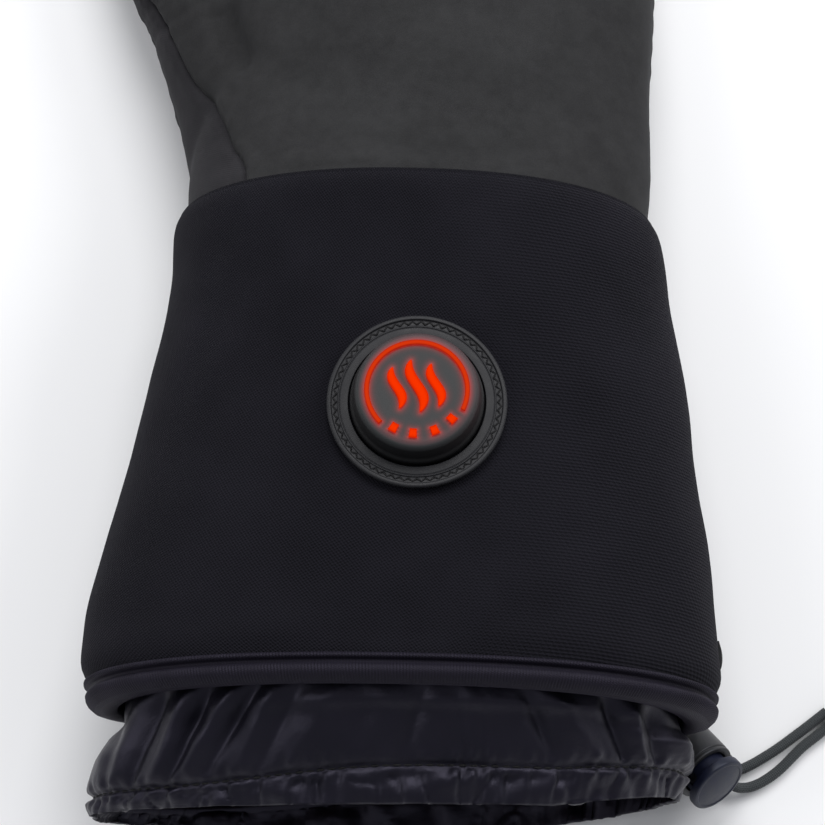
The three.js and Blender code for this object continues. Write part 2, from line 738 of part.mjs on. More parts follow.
const waves = [
  { across: -0.38, top: 0.44, bottom: -0.38, width: 0.21 },
  { across: -0.01, top: 0.59, bottom: -0.45, width: 0.235 },
  { across: 0.35, top: 0.51, bottom: -0.34, width: 0.21 },
];
const levelAngles = [240, 265, 292, 318];
const levelSpan = THREE.MathUtils.radToDeg(levelWidth / (levelRadius - levelHeight / 2));

// Side tab: a small folded tab on the cuff's little-finger side, on three of the cuff's corners.
const tabStart = 1 - (bindingDepth + grooveWidth + ridgeWidth + tabWidth + tabClearance) / cuffLength;

function tabGeometry() {
  const corners = [ringSides - 3, ringSides - 2, ringSides - 1];
  const rows = [tabStart, tabStart + tabWidth / cuffLength].map((along) => cuffRing(along));
  const under = rows.map((ring) => inset(ring, -seamGap));
  const over = rows.map((ring) => inset(ring, -seamGap - tabThickness));
  const strip = (ring) => corners.map((i) => ring[i]);
  const rings = under.map((ring, j) => [...strip(ring), ...strip(over[j]).reverse()]);
  return skin(rings, false);
}

// Cord lock

function latheAlongX(profile, segments) {
  const geometry = new THREE.LatheGeometry(profile.map(([r, x]) => new THREE.Vector2(r, x)), segments);
  geometry.rotateZ(-Math.PI / 2);
  return solid(geometry);
}

const cordStation = -(lockStart + lockLength * cordStationShare);
const boreRadius = lockRadius - lockWall;

function cordSlot(spare) {
  const slot = new THREE.BoxGeometry(
    cordSpacing + 2 * cordRadius + slotLength + spare,
    2 * cordRadius + slotWidth,
    3 * lockRadius,
  );
  slot.translate(cordStation + spare / 2, 0, 0);
  return solid(slot);
}

function barrelGeometry() {
  const floor = -lockEnd + lockWall;
  const shell = latheAlongX([
    [0, -lockEnd],
    [lockRadius - rimRound, -lockEnd],
    [lockRadius, -lockEnd + rimRound],
    [lockRadius, -lockStart - rimRound / 2],
    [lockRadius - rimRound / 2, -lockStart],
    [boreRadius, -lockStart],
    [boreRadius, floor],
    [0, floor],
  ], lockSides);
  return geometryFrom(shell.subtract(cordSlot(0)));
}

function plungerGeometry() {
  const stemEnd = -lockEnd + lockWall + plungerGap + plungerPlay;
  const stem = boreRadius - plungerPlay;
  const headRadius = lockRadius - plungerPlay / 2;
  const body = latheAlongX([
    [0, stemEnd],
    [stem, stemEnd],
    [stem, -plungerHead],
    [headRadius, -plungerHead],
    [headRadius, -rimRound],
    [headRadius - rimRound, -rimRound * 0.2],
    [0, rimRound * 0.3],
  ], lockSides);
  return geometryFrom(body.subtract(cordSlot(plungerGap)));
}

// Draw cord ends: each route is a short list of points, from the lock to the knot.
const cordStarts = [-0.5, 0.5].map((side) =>
  new THREE.Vector3(cordStation + side * cordSpacing, 0, -lockRadius - seamGap).applyMatrix4(lock.matrix));
const cordRoutes = {
  upper: [
    [74.3, -74.4, 3.3],
    [77.7, -74.3, 1.8],
    [80.8, -73.0, 1.5],
    [83.8, -71.3, 1.4],
    [87.0, -69.3, 1.4],
    [90.4, -66.9, 1.4],
    [94.6, -63.8, 1.4],
    [98.0, -61.2, 1.4],
    [99.3, -60.2, 1.4],
  ],
  lower: [
    [76.0, -78.2, 4.2],
    [79.3, -78.6, 2.1],
    [82.0, -77.8, 1.6],
    [84.9, -76.2, 1.4],
    [87.8, -74.0, 1.4],
    [90.6, -71.3, 1.4],
    [93.3, -68.7, 1.4],
    [96.8, -66.0, 1.4],
    [99.8, -63.6, 1.4],
    [101.0, -62.7, 1.4],
  ],
};
const knotCentre = new THREE.Vector3(104.1, -59.5, knotRadius * 0.92);

function cordGeometry(start, route) {
  const leaving = start.clone().add(new THREE.Vector3(0, 0, -cordRadius).applyEuler(lock.rotation));
  const points = [start, leaving, ...route.map((p) => new THREE.Vector3(...p))];
  const shape = new THREE.Shape();
  for (let i = 0; i < 8; i++) {
    const angle = (i / 8) * Math.PI * 2;
    const corner = [cordRadius * Math.cos(angle), cordRadius * Math.sin(angle)];
    if (i === 0) shape.moveTo(...corner);
    else shape.lineTo(...corner);
  }
  shape.closePath();
  const extrudePath = new THREE.CatmullRomCurve3(points);
  const geometry = new THREE.ExtrudeGeometry(shape, { steps: 20, bevelEnabled: false, extrudePath });
  return geometryFrom(solid(geometry));
}

function knotGeometry() {
  const geometry = new THREE.SphereGeometry(knotRadius, 12, 8);
  geometry.scale(1.05, 0.95, 0.9);
  geometry.rotateZ(degrees(42));
  geometry.translate(...knotCentre.toArray());
  return geometryFrom(solid(geometry));
}

// Assembly

const { back, palm, sides } = handPanels();
addPiece('back_panel', geometryFrom(back), softshell);
addPiece('palm_panel', geometryFrom(palm), palmGrip);
const sideNames = [
  'thumb_outer_gusset',
  'thumb_index_gusset',
  'fourchette_index_middle',
  'fourchette_middle_ring',
  'fourchette_ring_little',
  'little_side_gusset',
];
sides.forEach((side, i) => addPiece(sideNames[i], geometryFrom(side), gusset));

addPiece('cuff', cuffGeometry(), knit);
addPiece('cuff_binding', bindingGeometry(), tape);
addPiece('storm_skirt', skin([...skirtOuter, ...skirtInner.slice().reverse()], true), nylon);
addPiece('lining', liningGeometry(), fleece);
addPiece('side_tab', tabGeometry(), nylon);

addPiece('button_plate', plateGeometry(), silicone);
glove.add(button);
addPiece('button_cap', capGeometry(), silicone, button);
addPiece('power_ring', arcGeometry({
  outer: symbolRadius, stroke: symbolStroke, from: ringStart, to: ringEnd, steps: 20,
}), glow, button);
waves.forEach((wave, i) => {
  const sized = Object.fromEntries(Object.entries(wave).map(([key, share]) => [key, share * symbolRadius]));
  addPiece(`heat_wave_${i + 1}`, waveGeometry(sized), glow, button);
});
levelAngles.forEach((angle, i) => {
  addPiece(`level_bar_${i + 1}`, arcGeometry({
    outer: levelRadius,
    stroke: levelHeight,
    from: angle - levelSpan / 2,
    to: angle + levelSpan / 2,
    steps: 2,
  }), glow, button);
});

glove.add(lock);
addPiece('lock_barrel', barrelGeometry(), plastic, lock);
addPiece('lock_plunger', plungerGeometry(), plastic, lock);
addPiece('draw_cord_upper', cordGeometry(cordStarts[0], cordRoutes.upper), elastic);
addPiece('draw_cord_lower', cordGeometry(cordStarts[1], cordRoutes.lower), elastic);
addPiece('cord_knot', knotGeometry(), elastic);

export default glove;
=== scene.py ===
"""Looks for a heated winter glove that lies on its palm: knit cuff, nylon skirt, padded hand, lit button,
cord lock, stage, lights and camera. Lengths are in millimetres until a mesh is made."""
import math

import bpy
import numpy as np
from mathutils import Euler, Matrix, Vector
from mathutils.kdtree import KDTree


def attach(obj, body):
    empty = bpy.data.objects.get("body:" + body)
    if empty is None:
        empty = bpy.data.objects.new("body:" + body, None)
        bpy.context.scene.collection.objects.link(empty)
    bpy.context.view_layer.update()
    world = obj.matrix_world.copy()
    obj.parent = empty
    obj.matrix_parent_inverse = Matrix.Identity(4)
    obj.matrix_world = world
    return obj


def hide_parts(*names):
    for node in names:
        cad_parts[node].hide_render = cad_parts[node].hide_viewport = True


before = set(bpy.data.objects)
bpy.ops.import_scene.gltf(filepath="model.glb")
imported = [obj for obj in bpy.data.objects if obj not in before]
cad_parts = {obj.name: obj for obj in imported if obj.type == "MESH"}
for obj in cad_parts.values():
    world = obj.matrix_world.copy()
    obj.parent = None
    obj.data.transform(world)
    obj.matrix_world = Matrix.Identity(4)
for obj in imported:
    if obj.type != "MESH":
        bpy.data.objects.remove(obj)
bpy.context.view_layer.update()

MM = 0.001


def table(names, *rows):
    """Rows of numbers as a dictionary of named columns."""
    return dict(zip(names.split(), np.array(rows, float).T))


# Cuff
WRIST_EDGE = 55
MOUTH_EDGE = 64.2
CUFF_LENGTH = WRIST_EDGE + MOUTH_EDGE
WRIST_HALF_WIDTH = 58.6
WRIST_HEIGHT = 67
WRIST_ARCH = 0.155
ARCH_LEVEL = 57
EDGE_SKEW = 0.024
MOUTH_ARCH = 0.09
SIDE_LEVEL = 37
MOUTH_REACH_THUMB = 77.2
MOUTH_REACH_LITTLE = 69.8
MOUTH_HEIGHT = 80
CUFF_WALL = 3.2
SEAM_GAP = 0.3
HEM_ROUND = 1.3
CUFF_ROWS = table(
    "along thumb little rise lean lift arch",
    (0.00, 0.00, 0.000, 0.00, 1.0, 0, 0.00),
    (0.10, 0.00, 0.100, 0.10, 0.5, 0, 0.00),
    (0.20, 0.05, 0.180, 0.20, 0.0, 0, 0.00),
    (0.36, 0.26, 0.460, 0.36, 0.0, 0, 0.00),
    (0.53, 0.48, 0.630, 0.53, 0.0, 0, 0.00),
    (0.69, 0.75, 0.875, 0.72, 0.0, 0, 0.10),
    (0.85, 0.98, 0.970, 0.90, 0.0, 0, 0.45),
    (0.91, 1.00, 1.000, 0.96, 0.0, 1, 0.75),
    (0.95, 0.88, 0.800, 0.95, 0.0, 1, 0.90),
    (1.00, 0.73, 0.540, 0.90, 0.0, 1, 1.00),
)

# Binding
BINDING_SKIN = 1.2
BINDING_DEPTH = 5.3
BINDING_PLUMP = 2.4
TAPE_PULL = 1.8
TAPE_ROLL = 2.9
RIDGE_WIDTH = 1.5
RIDGE_PLUMP = 1.4
GROOVE_WIDTH = 0.9
GROOVE_SKIN = 0.55
RIB_PITCH = 0.72
RIB_RELIEF = 0.1
LAP_PLACE = 63.5
LAP_REACH = 5
LAP_FLOOR = 32
TAB_WIDTH = 5.5
TAB_THICKNESS = 1.6
TAB_CLEARANCE = 6
TAB_ANGLES = (-29, 2)

# Skirt and lining
SKIRT_TOP = -58.5
SKIRT_DROP = 24
HEM_LIFT = 4
HEM_LIFT_START = 30
SKIRT_WALL = 1.0
STITCH_LINE = -79.3
LINING_WALL = 1.5
LINING_END = -74.5
BEHIND_BINDING = CUFF_WALL + BINDING_SKIN + 3 * SEAM_GAP
SKIRT_ROWS = table(
    "along thumb little crown base belly",
    (0.16, 0.925, 0.895, 0.905, 0.02, 2.3),
    (0.31, 0.972, 0.925, 0.885, 0.00, 2.6),
    (0.50, 0.992, 0.920, 0.855, 0.00, 2.9),
    (0.66, 0.987, 0.900, 0.825, 0.00, 2.9),
    (0.84, 0.997, 0.885, 0.810, 0.00, 2.9),
    (1.00, 0.993, 0.870, 0.790, 0.00, 2.9),
)

# Hand
PALM_LENGTH = 103
HAND_TUCK = 13
PALM_HALF_WIDTH = 58.6
HAND_WALL = 2.3
FINGER_WIDTH = 28.5
FINGER_LENGTH = 90
FINGER_ROOT = 14
ROOT_HEIGHT = 31
TIP_HEIGHT = 25
THUMB_WIDTH = 31
THUMB_LENGTH = 108
THUMB_HEIGHT = 42
THUMB_SWELL = 0.42
THUMB_SPLAY = 23
HAND_VOXEL = 1.25
PALM_ROWS = table(
    "along thumb little crown base",
    (0.10, 0.940, 0.983, 0.945, 0.20),
    (0.24, 0.920, 0.990, 0.880, 0.00),
    (0.40, 0.880, 0.993, 0.825, 0.00),
    (0.56, 0.850, 1.000, 0.770, 0.00),
    (0.74, 0.855, 0.998, 0.700, 0.00),
    (0.92, 0.870, 0.985, 0.600, 0.00),
    (0.98, 0.830, 0.955, 0.530, 0.02),
    (1.02, 0.760, 0.880, 0.420, 0.06),
)
FINGERS = table(
    "across splay width length back",
    (-0.610, -4.0, 0.985, 0.87, 0.00),
    (-0.135, -0.5, 1.000, 0.98, 0.00),
    (0.335, 3.0, 0.965, 0.91, 0.02),
    (0.775, 7.5, 0.880, 0.73, 0.05),
)
DIGIT_ROWS = table(
    "along girth",
    (0.00, 1.00),
    (0.20, 1.00),
    (0.42, 1.00),
    (0.70, 0.96),
    (0.86, 0.86),
    (0.95, 0.66),
    (0.99, 0.38),
    (1.00, 0.12),
)
BACK_SEAM_ROWS = table(
    "along thumb little",
    (-0.20, 0.900, 0.430),
    (0.02, 0.900, 0.430),
    (0.12, 0.815, 0.430),
    (0.205, 0.757, 0.430),
    (0.29, 0.665, 0.430),
    (0.35, 0.625, 0.435),
    (0.51, 0.580, 0.445),
    (0.62, 0.520, 0.460),
    (0.73, 0.470, 0.480),
    (0.92, 0.550, 0.530),
    (1.08, 0.620, 0.620),
    (2.10, 0.620, 0.620),
)
BACK_SEAM_BLEND = 35
PALM_SEAM_SHARE = 0.27
WAIST_SHARE = 0.46
CROWN_SQUARE = 2.2
BELLY_SQUARE = 2.05
BELLY_SINK = 1.2

# Button
PLATE_RADIUS = 20.2
PLATE_HEIGHT = 1.9
PLATE_LIP = 1.0
STITCH_CHANNEL = 1.5
CHANNEL_DEPTH = 0.5
CAP_FOOT_RADIUS = 15
CAP_FACE_RADIUS = 13.1
CAP_HEIGHT = 8.2
SYMBOL_RADIUS = 11.8
SYMBOL_STROKE = 1.35
SYMBOL_RELIEF = 0.35
RING_START = -26
RING_END = 224
LEVEL_RADIUS = 11.3
LEVEL_HEIGHT = 2.1
LEVEL_WIDTH = 1.7
LEVEL_ANGLES = (240, 265, 292, 318)
# Heading and reach of the cap's painted red glow, strongest on one side.
PAINTED_GLOW_HEADING = 62
PAINTED_GLOW_REACH = 62
WAVES = table(
    "across top bottom width",
    (-0.38, 0.44, -0.38, 0.210),
    (-0.01, 0.59, -0.45, 0.235),
    (0.35, 0.51, -0.34, 0.210),
)

# Lock, cords and knot
LOCK_FACE = Vector((71.6, -79.6, 15.2))
LOCK_ROLL = 50
LOCK_TURN = -50.5
LOCK_RISE = 25.2
LOCK_RADIUS = 7.6
LOCK_LENGTH = 15
LOCK_WALL = 1.7
PLUNGER_HEAD = 2.4
PLUNGER_GAP = 2.6
PLUNGER_PLAY = 0.4
CORD_RADIUS = 1.25
CORD_SPACING = 4
KNOT_CENTRE = Vector((104.1, -59.5, 3.68))
CORD_ROUTES = {
    "upper": (
        (74.3, -74.4, 3.3), (77.7, -74.3, 1.8), (80.8, -73.0, 1.5), (83.8, -71.3, 1.4), (87.0, -69.3, 1.4),
        (90.4, -66.9, 1.4), (94.6, -63.8, 1.4), (98.0, -61.2, 1.4), (99.3, -60.2, 1.4),
    ),
    "lower": (
        (76.0, -78.2, 4.2), (79.3, -78.6, 2.1), (82.0, -77.8, 1.6), (84.9, -76.2, 1.4), (87.8, -74.0, 1.4),
        (90.6, -71.3, 1.4), (93.3, -68.7, 1.4), (96.8, -66.0, 1.4), (99.8, -63.6, 1.4), (101.0, -62.7, 1.4),
    ),
}

# Points round each body
CUFF_SIDES = 320
TAB_SIDES = 360
SKIRT_SIDES = 560
LINING_SIDES = 200
PALM_SIDES = 150
DIGIT_SIDES = 40
PLATE_SIDES = 256
CAP_SIDES = 240
LOCK_SIDES = 96
CORD_SIDES = 28
KNOT_SIDES = 24
THREAD_SIDES = 6

# Numbers and curves

RIPPLE_WAVES = 14


def through(x, y, at):
    """A smooth curve through rows of values, level where they turn, so that it never overshoots."""
    x, y = np.asarray(x, float), np.asarray(y, float)
    shape = (-1,) + (1,) * (y.ndim - 1)
    steps = np.diff(x).reshape(shape)
    slopes = np.diff(y, axis=0) / steps
    before, after = slopes[:-1], slopes[1:]
    level = before * after <= 0
    turns = np.where(level, 0, 2 * before * after / np.where(level, 1, before + after))
    turns = np.concatenate([slopes[:1], turns, slopes[-1:]])
    at = np.clip(np.atleast_1d(np.asarray(at, float)), x[0], x[-1])
    i = np.clip(np.searchsorted(x, at) - 1, 0, len(x) - 2)
    flat_t = (at - x[i]) / np.diff(x)[i]
    t = flat_t.reshape(at.shape + (1,) * (y.ndim - 1))
    step = np.diff(x)[i].reshape(t.shape)
    return (
        (1 + 2 * t) * (1 - t) ** 2 * y[i]
        + t * (1 - t) ** 2 * step * turns[i]
        + t * t * (3 - 2 * t) * y[i + 1]
        + t * t * (t - 1) * step * turns[i + 1]
    )


def read(rows, name, along):
    """One column of a table at places along it."""
    return through(rows["along"], rows[name], along)


def columns(rows):
    """A table's columns, each one upright, for grids with a row for each section."""
    return {name: values[:, None] for name, values in rows.items()}


def mix(a, b, share):
    """A value between two others, at a share of the way."""
    return a + (b - a) * share


def lengths_along(line):
    """How far along a line each of its points lies."""
    return np.concatenate([[0], np.cumsum(np.linalg.norm(np.diff(line, axis=0), axis=1))])


def smooth_step(low, high, value):
    """A soft rise from 0 to 1 between two values."""
    t = np.clip((value - low) / (high - low), 0, 1)
    return t * t * (3 - 2 * t)


def ripple(points, size, seed):
    """Smooth seeded unevenness from about -1 to 1, with bumps of about this size."""
    draw = np.random.default_rng(seed)
    directions = draw.normal(size=(RIPPLE_WAVES, 3))
    directions /= np.linalg.norm(directions, axis=1, keepdims=True)
    lengths = size * draw.uniform(1.4, 3.2, RIPPLE_WAVES)
    phases = draw.uniform(0, 2 * np.pi, RIPPLE_WAVES)
    turns = points @ (directions * (2 * np.pi / lengths[:, None])).T
    return np.sin(turns + phases).sum(axis=-1) / math.sqrt(RIPPLE_WAVES / 2) / 1.6


# Rings: a ring runs from the middle of the belly round the little finger's side and over the crown

MIDDLING_SECTION = (68, 64, 74, 0)


def oval(thumb, little, crown, base, angle, belly=BELLY_SQUARE):
    """x and z of an oval section, pressed softly flat where it rests."""
    c, s = np.cos(angle), np.sin(angle)
    square = 2 / np.where(s >= 0, CROWN_SQUARE, belly)
    x = np.sign(c) * np.abs(c) ** square * np.where(c > 0, little, thumb)
    waist = base + WAIST_SHARE * (crown - base)
    rise = np.where(s >= 0, crown - waist, waist - base + BELLY_SINK)
    z = waist + np.sign(s) * np.abs(s) ** square * rise
    softness = 0.7
    return x, base + softness * np.logaddexp(0, (z - base) / softness)


def even_angles(sides):
    """Angles that part a middling section into equal steps."""
    dense = np.linspace(-np.pi / 2, 1.5 * np.pi, 6001)
    length = lengths_along(np.stack(oval(*MIDDLING_SECTION, dense), axis=-1))
    return np.interp(np.arange(sides) / sides * length[-1], length, dense)


def outward(rings):
    """Unit normals of each ring in its upright plane."""
    edge = np.roll(rings, -1, axis=1) - np.roll(rings, 1, axis=1)
    normal = np.stack([edge[..., 2], 0 * edge[..., 1], -edge[..., 0]], axis=-1)
    return normal / np.linalg.norm(normal, axis=-1, keepdims=True)


def moved_out(rings, out):
    """Rings moved out by a distance, one for all, one a ring or one a point, and never below the floor."""
    distance = np.asarray(out, float)
    while distance.ndim < 2:
        distance = distance[..., None]
    moved = rings + outward(rings) * distance[..., None]
    moved[..., 2] = np.maximum(moved[..., 2], 0.02)
    return moved


def run_out(z):
    """How far the mouth's edge runs out at a height."""
    return MOUTH_ARCH * (MOUTH_HEIGHT - np.maximum(z, SIDE_LEVEL))


def cuff_rings(along, angles):
    """The cuff's outer skin at shares along it, from the wrist edge to the mouth."""
    along = np.atleast_1d(np.asarray(along, float))
    column = columns({name: read(CUFF_ROWS, name, along) for name in CUFF_ROWS})
    x, z = oval(
        mix(WRIST_HALF_WIDTH, MOUTH_REACH_THUMB, column["thumb"]),
        mix(WRIST_HALF_WIDTH, MOUTH_REACH_LITTLE, column["little"]),
        mix(WRIST_HEIGHT, MOUTH_HEIGHT, column["rise"]),
        (BINDING_SKIN + SEAM_GAP) * column["lift"],
        angles[None, :],
    )
    leaning = WRIST_ARCH * column["lean"] * (z - ARCH_LEVEL)
    y = WRIST_EDGE - along[:, None] * CUFF_LENGTH + leaning - EDGE_SKEW * x
    return np.stack([x, y - column["arch"] * run_out(z), z], axis=-1)


def crown_height(x, y):
    """Height of the cuff's skin over points near the button."""
    x, y = np.asarray(x, float), np.asarray(y, float)
    along = (WRIST_EDGE - y.ravel() - EDGE_SKEW * x.ravel()) / CUFF_LENGTH
    side = np.where(
        x.ravel() > 0,
        mix(WRIST_HALF_WIDTH, MOUTH_REACH_LITTLE, read(CUFF_ROWS, "little", along)),
        mix(WRIST_HALF_WIDTH, MOUTH_REACH_THUMB, read(CUFF_ROWS, "thumb", along)),
    )
    crown = mix(WRIST_HEIGHT, MOUTH_HEIGHT, read(CUFF_ROWS, "rise", along))
    waist = WAIST_SHARE * crown
    share = np.clip(1 - np.abs(x.ravel() / side) ** CROWN_SQUARE, 0, 1)
    return (waist + (crown - waist) * share ** (1 / CROWN_SQUARE)).reshape(x.shape)


# Meshes

WEAVE_MAP = "weave"


def ring_faces(rows, sides, looped=False):
    """Quads between rings. A looped grid joins its last ring to its first."""
    j = np.arange(rows if looped else rows - 1)[:, None]
    i = np.arange(sides)[None, :]
    near, far, k = j * sides, (j + 1) % rows * sides, (i + 1) % sides
    return np.stack([near + i, near + k, far + k, far + i], axis=-1).reshape(-1, 4)


def ring_corners(rings, across, looped=False):
    """A map in millimetres for the quads of ring_faces: round each ring from its crown, and across."""
    rows, sides = rings.shape[:2]
    round_it = np.linalg.norm(np.roll(rings, -1, axis=1) - rings, axis=-1).mean(axis=0)
    u = np.concatenate([[0], np.cumsum(round_it)])
    u -= u[sides // 2]
    v = np.asarray(across, float)
    v = np.concatenate([v, v[-1:] + 1]) if looped else v
    j = np.arange(rows if looped else rows - 1)[:, None] + np.zeros(sides, int)
    i = np.arange(sides)[None, :] + np.zeros((j.shape[0], 1), int)
    corners = [(u[i], v[j]), (u[i + 1], v[j]), (u[i + 1], v[j + 1]), (u[i], v[j + 1])]
    return np.stack([np.stack(corner, axis=-1) for corner in corners], axis=2).reshape(-1, 2)


def make_mesh(name, points, faces, corners=None):
    """A smooth mesh from points in millimetres, with a map if its corners are given."""
    mesh = bpy.data.meshes.new(name)
    faces = faces.tolist() if isinstance(faces, np.ndarray) else faces
    mesh.from_pydata((np.asarray(points).reshape(-1, 3) * MM).tolist(), [], faces)
    if corners is not None:
        layer = mesh.uv_layers.new(name=WEAVE_MAP)
        layer.data.foreach_set("uv", np.asarray(corners, np.float32).ravel())
    mesh.shade_smooth()
    return mesh


def points_of(mesh):
    """A mesh's points in millimetres."""
    flat = np.empty(len(mesh.vertices) * 3, np.float32)
    mesh.vertices.foreach_get("co", flat)
    return flat.reshape(-1, 3).astype(float) / MM


def link(piece):
    """The same object, now in the scene."""
    bpy.context.scene.collection.objects.link(piece)
    return piece


def drop(piece):
    """Removes a helper object and its mesh."""
    data = piece.data
    bpy.data.objects.remove(piece)
    bpy.data.meshes.remove(data)


def evaluated(piece):
    """A copy of the mesh with the piece's modifiers applied."""
    graph = bpy.context.evaluated_depsgraph_get()
    return bpy.data.meshes.new_from_object(piece.evaluated_get(graph))


def add_piece(name, mesh, material, slot, *nodes, body="glove"):
    """A new piece that rides on a body and stands for these nodes."""
    piece = link(bpy.data.objects.new(name, mesh))
    mesh.materials.clear()
    mesh.materials.append(material)
    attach(piece, body)
    if nodes:
        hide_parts(*nodes)
    return piece


def add_rings(name, rings, material, slot, node, looped=False, across=None):
    """A piece over open or looped rings, with the map that cloth finishes read."""
    rows, sides = rings.shape[:2]
    if across is None:
        across = lengths_along(rings[:, sides // 2])
    mesh = make_mesh(name, rings, ring_faces(rows, sides, looped), ring_corners(rings, across, looped))
    return add_piece(name, mesh, material, slot, node)


def triangle_normals(points, triangles):
    """Unit normals at the points, from the triangles round them."""
    a, b, c = (points[triangles[:, k]] for k in range(3))
    flat = np.cross(b - a, c - a)
    normals = np.zeros_like(points)
    for k in range(3):
        np.add.at(normals, triangles[:, k], flat)
    return normals / np.maximum(np.linalg.norm(normals, axis=1, keepdims=True), 1e-12)


def slab(top, under):
    """Points and faces of a closed slab between two grids."""
    rows, cols = top.shape[:2]
    size = rows * cols
    points = np.concatenate([top.reshape(-1, 3), under.reshape(-1, 3)])
    faces = []
    for j in range(rows - 1):
        for i in range(cols - 1):
            a, b, c, d = j * cols + i, j * cols + i + 1, (j + 1) * cols + i + 1, (j + 1) * cols + i
            faces += [[a, b, c, d], [size + d, size + c, size + b, size + a]]
    rim = [j * cols for j in range(rows)] + [(rows - 1) * cols + i for i in range(1, cols)]
    rim += [j * cols + cols - 1 for j in range(rows - 2, -1, -1)] + [i for i in range(cols - 2, 0, -1)]
    for a, b in zip(rim, rim[1:] + rim[:1]):
        faces.append([a, b, size + b, size + a])
    return points, faced_out(points, faces)[0]


def lathe(profile, sides):
    """A grid of rings from a profile of radius and height, round +Z, with the axis points as tiny rings."""
    radius, height = np.array(profile, float).T
    angle = np.arange(sides) / sides * 2 * np.pi
    ring = np.stack([np.cos(angle), np.sin(angle)], axis=-1)
    points = np.zeros((len(radius), sides, 3))
    points[..., :2] = np.maximum(radius, 1e-3)[:, None, None] * ring
    points[..., 2] = height[:, None]
    return points


def rounded(profile, radius=0.3, steps=5):
    """A profile with its inner corners rounded."""
    points = [np.array(p, float) for p in profile]
    out = [points[0]]
    for before, corner, after in zip(points, points[1:], points[2:]):
        reach = min(radius, 0.45 * np.linalg.norm(before - corner), 0.45 * np.linalg.norm(after - corner))
        start = corner + (before - corner) / max(np.linalg.norm(before - corner), 1e-9) * reach
        end = corner + (after - corner) / max(np.linalg.norm(after - corner), 1e-9) * reach
        for t in np.linspace(0, 1, steps):
            out.append((1 - t) ** 2 * start + 2 * t * (1 - t) * corner + t * t * end)
    out.append(points[-1])
    return np.array(out)


# Materials


def tone(red, green, blue):
    """A screen colour of 0 to 255 as linear values."""
    share = np.array([red, green, blue]) / 255
    return tuple(np.where(share <= 0.04045, share / 12.92, ((share + 0.055) / 1.055) ** 2.4).tolist())


class Finish:
    """A material's nodes, built by short calls. Values may be numbers, colours or other nodes' outputs."""

    def __init__(self, name, **values):
        self.material = bpy.data.materials.new(name)
        self.material.use_nodes = True
        self.tree = self.material.node_tree
        self.tree.nodes.clear()
        output = self.tree.nodes.new("ShaderNodeOutputMaterial")
        self.shader = self.tree.nodes.new("ShaderNodeBsdfPrincipled")
        self.feed(output.inputs["Surface"], self.shader.outputs[0])
        self.set(**values)

    def feed(self, socket, value):
        if isinstance(value, bpy.types.NodeSocket):
            self.tree.links.new(value, socket)
        elif isinstance(value, tuple) and socket.type == "RGBA":
            socket.default_value = (*value, 1)
        else:
            socket.default_value = value

    def set(self, **values):
        for name, value in values.items():
            self.feed(self.shader.inputs[name.replace("_", " ").title().replace("Ior", "IOR")], value)

    def node(self, kind, inputs=(), **settings):
        made = self.tree.nodes.new(kind)
        for name, value in settings.items():
            setattr(made, name, value)
        for name, value in dict(inputs).items():
            self.feed(made.inputs[name], value)
        return made

    def math(self, operation, a, b=0.0, clamp=False):
        return self.node("ShaderNodeMath", {0: a, 1: b}, operation=operation, use_clamp=clamp).outputs[0]

    def add(self, a, b):
        return self.math("ADD", a, b)

    def less(self, a, b):
        return self.math("SUBTRACT", a, b)

    def times(self, a, b):
        return self.math("MULTIPLY", a, b)

    def swing(self, noise, amount):
        """A noise's swing to either side of its middle."""
        return self.times(self.less(noise, 0.5), amount)

    def stored(self, name):
        """A number that the mesh holds at each point."""
        return self.node("ShaderNodeAttribute", attribute_name=name).outputs["Fac"]

    def colour(self, share, a, b, blend_type="MIX"):
        made = self.node("ShaderNodeMix", data_type="RGBA", blend_type=blend_type)
        for k, value in ((0, share), (6, a), (7, b)):
            self.feed(made.inputs[k], value)
        return made.outputs[2]

    def blend(self, share, a, b):
        """A number between two others."""
        made = self.node("ShaderNodeMix", data_type="FLOAT")
        for k, value in ((0, share), (2, a), (3, b)):
            self.feed(made.inputs[k], value)
        return made.outputs[0]

    def spread(self, value, low, high, to_low=0.0, to_high=1.0):
        inputs = {"Value": value, "From Min": low, "From Max": high, "To Min": to_low, "To Max": to_high}
        return self.node("ShaderNodeMapRange", inputs, clamp=True).outputs[0]

    def noise(self, vector, size, detail=2.0, roughness=0.5):
        """Noise whose cells are about this many millimetres."""
        inputs = {"Vector": vector, "Scale": 1 / size, "Detail": detail, "Roughness": roughness}
        return self.node("ShaderNodeTexNoise", inputs).outputs[0]

    def place(self):
        """Where a point is on the piece, in millimetres."""
        where = self.node("ShaderNodeTexCoord").outputs["Object"]
        inputs = {0: where, 1: (1 / MM,) * 3}
        return self.node("ShaderNodeVectorMath", inputs, operation="MULTIPLY").outputs[0]

    def weave(self):
        """The piece's map in millimetres."""
        return self.node("ShaderNodeUVMap", uv_map=WEAVE_MAP).outputs[0]

    def parts(self, vector):
        return self.node("ShaderNodeSeparateXYZ", {0: vector}).outputs

    def sine(self, value, pitch, phase=0.0):
        return self.math("SINE", self.add(self.times(value, 2 * math.pi / pitch), phase))

    def bump(self, height, depth, normal=None):
        """Relief of this many millimetres."""
        made = self.node("ShaderNodeBump", {"Height": height, "Distance": depth * MM, "Strength": 1.0})
        if normal is not None:
            self.feed(made.inputs["Normal"], normal)
        return made.outputs[0]


